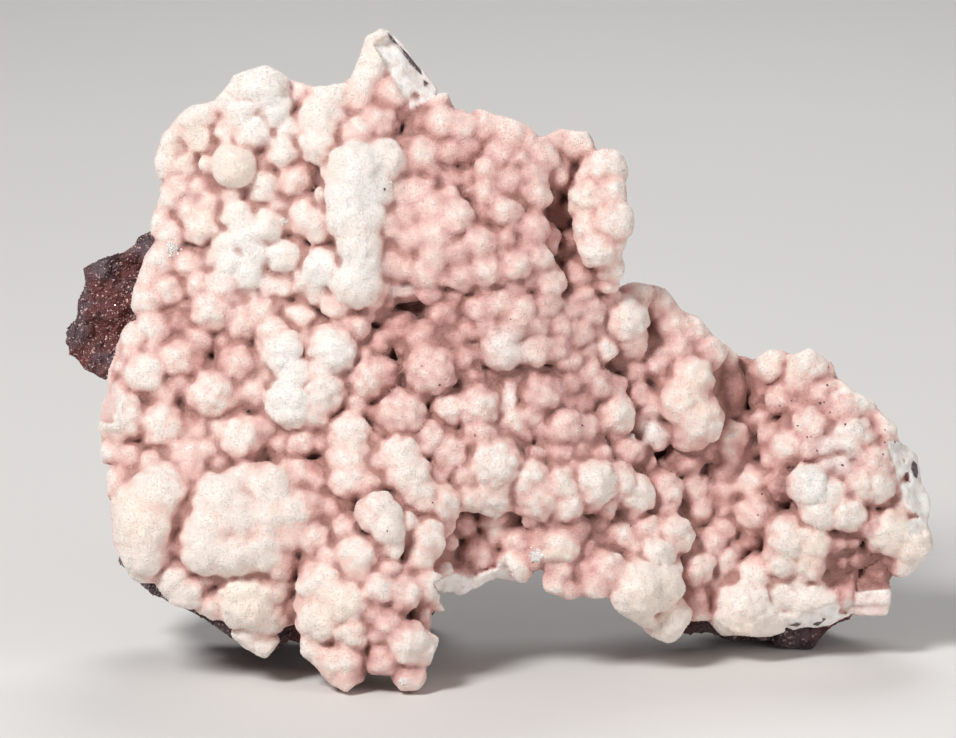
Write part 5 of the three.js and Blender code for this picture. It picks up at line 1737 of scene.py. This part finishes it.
class SPECIMEN_OT_grains(bpy.types.Operator):
    """Dots the crust with fine dark grains"""
    bl_idname = "specimen.grains"
    bl_label = "Dark grains"

    def execute(self, context):
        ground = surface_tree("calcite_crust_lumps")
        random = np.random.default_rng(95)
        spots = [*DARK_GRAINS]
        for x, v in DARK_GRAINS[:PAIRED_GRAINS]:
            off_x, off_v = random.uniform(-GRAIN_SPREAD, GRAIN_SPREAD, 2)
            if x + off_x < GRAIN_END:
                spots.append((x + off_x, v + off_v))
        parts = []
        for x, v in spots:
            points, faces = splinter(random.uniform(*GRAIN_SIZES, 3), random)
            parts.append((to_world(points + front_point(ground, x, v)), faces))
        piece = mesh_object("dark_grains", *joined(parts))
        piece.data.materials.append(rock_material("dark_grains", grain_size=0.0003, bump=0.00002,
                                                  roughness=0.4))
        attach(piece, "root")
        return {"FINISHED"}


class SPECIMEN_OT_glitter(bpy.types.Operator):
    """Scatters small glinting crystals over the rock, with painted glints on many of them"""
    bl_idname = "specimen.glitter"
    bl_label = "Rock glitter"

    def execute(self, context):
        rock = settings().rock
        # The glitter's material paints glints on more of its cells than the rock's does.
        material = rock_material("matrix_glitter", grain_size=0.0004, bump=0.00003, roughness=0.3, glints=0.6)
        piece = grow("matrix_glitter", bpy.data.objects["matrix_rock"], Spacing=rock.glitter_spacing,
                     Density=rock.glitter_density * crystal_factor(), From_X=-1.0, To_X=1.0,
                     Width=rock.glitter_width, Height=rock.glitter_height, Lean=0.9, Sides=4, Seed=80,
                     Material=material)
        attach(piece, "root")
        return {"FINISHED"}


class SPECIMEN_OT_studio(bpy.types.Operator):
    """Sets up the pale floor, the soft lights and the camera"""
    bl_idname = "specimen.studio"
    bl_label = "Studio"

    def execute(self, context):
        studio = settings().studio
        scene = context.scene
        half = studio.floor_size / 2
        corners = [(-half, -half, 0), (half, -half, 0), (half, half, 0), (-half, half, 0)]
        floor = mesh_object("floor", corners, [(0, 1, 2, 3)])
        paper, tree, shader, place = new_material("floor_paper")
        dark, light = (linear(tone) for tone in FLOOR_TONES)
        shade = tree.ramp(tree.noise(place, FLOOR_PATCH), [(0.3, dark), (0.7, light)])
        tree.tree.links.new(shade, shader.inputs["Base Color"])
        shader.inputs["Roughness"].default_value = 0.8
        floor.data.materials.append(paper)

        world = bpy.data.worlds.new("studio")
        world.use_nodes = True
        background = world.node_tree.nodes["Background"]
        background.inputs["Color"].default_value = linear(studio.surround)
        background.inputs["Strength"].default_value = studio.surround_strength
        scene.world = world
        scene.view_settings.view_transform = "Standard"
        target = Vector(to_world([LOOK_AT])[0])
        for name, (place, size) in LAMPS.items():
            lamp = bpy.data.lights.new(name, "AREA")
            lamp.shape = "DISK"
            lamp.size = size
            lamp.energy = getattr(studio, f"{name}_power")
            light = new_object(name, lamp)
            light.location = place
            light.rotation_euler = (target - light.location).to_track_quat("-Z", "Y").to_euler()

        camera = bpy.data.cameras.new("camera")
        camera.sensor_width = SENSOR_WIDTH
        camera.lens = SENSOR_WIDTH * studio.distance / FRAME_WIDTH
        camera.clip_start, camera.clip_end = CAMERA_RANGE
        shooter = new_object("camera", camera)
        back = Vector((0, -math.cos(LEAN), math.sin(LEAN)))
        shooter.location = target + back * studio.distance
        shooter.rotation_euler = (-back).to_track_quat("-Z", "Y").to_euler()
        scene.camera = shooter
        return {"FINISHED"}


# ---- Settings and panel ----

def length(name, description, default):
    return FloatProperty(name=name, description=description, default=default, precision=5, unit="LENGTH")


def share(name, description, default):
    return FloatProperty(name=name, description=description, default=default)


def whole(name, description, default):
    return IntProperty(name=name, description=description, default=default)


def color(name, description, default):
    return FloatVectorProperty(name=name, description=description, default=default, size=3, min=0, max=1,
                               subtype="COLOR_GAMMA")


class CrustSettings(bpy.types.PropertyGroup):
    step: length("Step", "Edge of the cells that the crust is shaped in", 0.00053)
    triangles: whole("Triangles", "How many the crust has at most", 196000)
    fuse: share("Fuse", "Width, in mm, over which lumps run into each other", 0.72)
    plump: share("Plump", "How much fuller the lumps are than their visible domes", 1.18)
    hollow_depth: share("Hollow depth", "Depth of the soft hollows, over their radius", 0.35)
    undercut: share("Undercut", "How far the rim slopes in, over its height", 0.28)
    wall_roughness: share("Wall roughness", "Of the broken rim, in mm", 0.35)
    filler_darker: share("Filler darker", "How much darker than their neighbours they are", 0.06)
    sheet_rise: share("Sheet rise", "How high the lumps fuse, over their radius", 0.45)
    lump_rise: share("Lump rise", "A lump's centre over the relief, over its radius", 0.25)
    uneven: share("Uneven", "How much lumps differ in how far they stand out, over their radius", 0.18)
    pit_depth: share("Pit depth", "Over the pit's radius", 0.65)
    lobes: share("Knobs", "How many knobs a lump of 1 mm radius would have", 1.1)
    lobe_small: share("Smallest knob", "Radius, in mm", 1.3)
    lobe_large: share("Largest knob", "Radius, in mm", 1.8)
    deepest: share("Deepest lump", "How far a lump's centre may sit in the sheet, over its radius", 0.2)
    lobe_sink: share("Knob sink", "How deep a knob sits in its lump, over its radius", 0.6)
    lobe_fuse: share("Knob fuse", "How much wider or narrower than lumps the knobs fuse", 0.6)
    filler_tries: whole("Filler tries", "How many small lumps are tried in the gaps", 14000)
    filler_small: share("Smallest filler", "Radius, in mm", 1.8)
    filler_large: share("Largest filler", "Radius, in mm", 3.0)
    filler_room: share("Filler room", "How far apart fillers stay, over the sum of the radii", 0.64)
    rim_inset: share("Rim inset", "How far the sheet stays inside the outline, in mm", 1.2)
    overhang: share("Overhang", "How far a lump may pass the outline, in mm", 0.3)
    embed: share("Embed", "How deep the crust reaches into the rock, in mm", 1.6)


class DruseSettings(bpy.types.PropertyGroup):
    bands: whole("Bands", "How many pieces the druse is made in", 4)
    spacing: length("Spacing", "Least distance between crystals", 0.00036)
    density: share("Density", "Crystals to a square metre, at most", 9.0e6)
    width: length("Width", "Radius of a crystal's foot", 0.0003)
    height: length("Height", "Height of a crystal", 0.00014)


class RockSettings(bpy.types.PropertyGroup):
    step: length("Step", "Edge of the cells that the rock is remeshed in", 0.0008)
    facet: length("Facet", "Size of a broken facet", 0.008)
    facet_height: length("Facet height", "How far facets differ in height", 0.0022)
    glitter_spacing: length("Glitter spacing", "Least distance between crystals", 0.0006)
    glitter_density: share("Glitter density", "Crystals to a square metre, at most", 1.2e6)
    glitter_width: length("Glitter width", "Radius of a glinting crystal's foot", 0.00028)
    glitter_height: length("Glitter height", "Height of a glinting crystal", 0.00025)


class LookSettings(bpy.types.PropertyGroup):
    white: color("White", "Tips and the palest lumps", (0.955, 0.90, 0.865))
    cream: color("Cream", "Pale lumps", (0.945, 0.815, 0.773))
    pink: color("Pink", "The usual lump", (0.88, 0.698, 0.668))
    # Dusky and rose are the low tones: of dark lumps, and of the hollows, whose tone is lowered as painted
    # shade.
    dusky: color("Dusky", "Lumps in the hollows", (0.79, 0.58, 0.55))
    rose: color("Rose", "Deep hollows", (0.62, 0.43, 0.395))
    # Painted shade: the colours of the creases between the lumps and of the deepest crevices.
    crease: color("Crease", "Between the lumps", (0.69, 0.50, 0.46))
    crevice_shade: color("Crevice", "The bottom of the deepest creases", (0.44, 0.285, 0.255))
    cool: color("Cool", "Grey-white patches", (0.95, 0.935, 0.915))
    warm: color("Warm", "Yellowish cream patches", (0.96, 0.885, 0.82))
    broken: color("Broken calcite", "Fresh broken faces", (0.985, 0.965, 0.945))
    worn: color("Worn calcite", "Duller patches of the broken faces", (0.90, 0.85, 0.82))
    rock: color("Rock", "Maroon-brown rock", (0.42, 0.22, 0.205))
    rock_grey: color("Grey rock", "Grey-purple patches", (0.38, 0.31, 0.33))
    rock_dark: color("Dark rock", "The darkest grains", (0.22, 0.13, 0.13))
    inclusion: color("Inclusion", "Dark mineral in the broken faces", (0.43, 0.38, 0.40))
    # The colour of the painted glints.
    glint: color("Glint", "Pinkish glints in the rock", (0.88, 0.74, 0.72))


class StudioSettings(bpy.types.PropertyGroup):
    floor_size: length("Floor size", "Edge of the floor", 6.0)
    distance: length("Camera distance", "From the camera to the specimen", 1.5)
    key_power: share("Key light", "Power of the light from the left, in watts", 15.5)
    fill_power: share("Fill light", "Power of the light from the right, in watts", 3.3)
    rim_power: share("Rim light", "Power of the light from behind, in watts", 4.5)
    surround: color("Surround", "Colour of the room's light", (0.80, 0.80, 0.80))
    surround_strength: share("Surround strength", "Strength of the room's light", 0.175)


class SpecimenSettings(bpy.types.PropertyGroup):
    crust: PointerProperty(type=CrustSettings)
    druse: PointerProperty(type=DruseSettings)
    rock: PointerProperty(type=RockSettings)
    looks: PointerProperty(type=LookSettings)
    studio: PointerProperty(type=StudioSettings)


class SPECIMEN_PT_panel(bpy.types.Panel):
    """Lists the steps that build the specimen, and its settings"""
    bl_idname = "SPECIMEN_PT_panel"
    bl_label = "Calcite on matrix"
    bl_space_type = "VIEW_3D"
    bl_region_type = "UI"
    bl_category = "Specimen"

    def draw(self, context):
        for operator in OPERATORS:
            self.layout.operator(operator.bl_idname)
        for group in (settings().crust, settings().druse, settings().rock, settings().looks,
                      settings().studio):
            box = self.layout.box()
            for name in group.__annotations__:
                box.prop(group, name)


OPERATORS = (SPECIMEN_OT_crust, SPECIMEN_OT_rock, SPECIMEN_OT_druse, SPECIMEN_OT_crystals,
             SPECIMEN_OT_inclusions, SPECIMEN_OT_grains, SPECIMEN_OT_glitter, SPECIMEN_OT_studio)
CLASSES = (CrustSettings, DruseSettings, RockSettings, LookSettings, StudioSettings, SpecimenSettings,
           *OPERATORS, SPECIMEN_PT_panel)


def register():
    for cls in CLASSES:
        bpy.utils.register_class(cls)
    bpy.types.Scene.specimen = PointerProperty(type=SpecimenSettings)


def unregister():
    del bpy.types.Scene.specimen
    for cls in reversed(CLASSES):
        bpy.utils.unregister_class(cls)


def main():
    register()
    for operator in OPERATORS:
        category, name = operator.bl_idname.split(".")
        getattr(getattr(bpy.ops, category), name)()


if __name__ == "__main__":
    main()
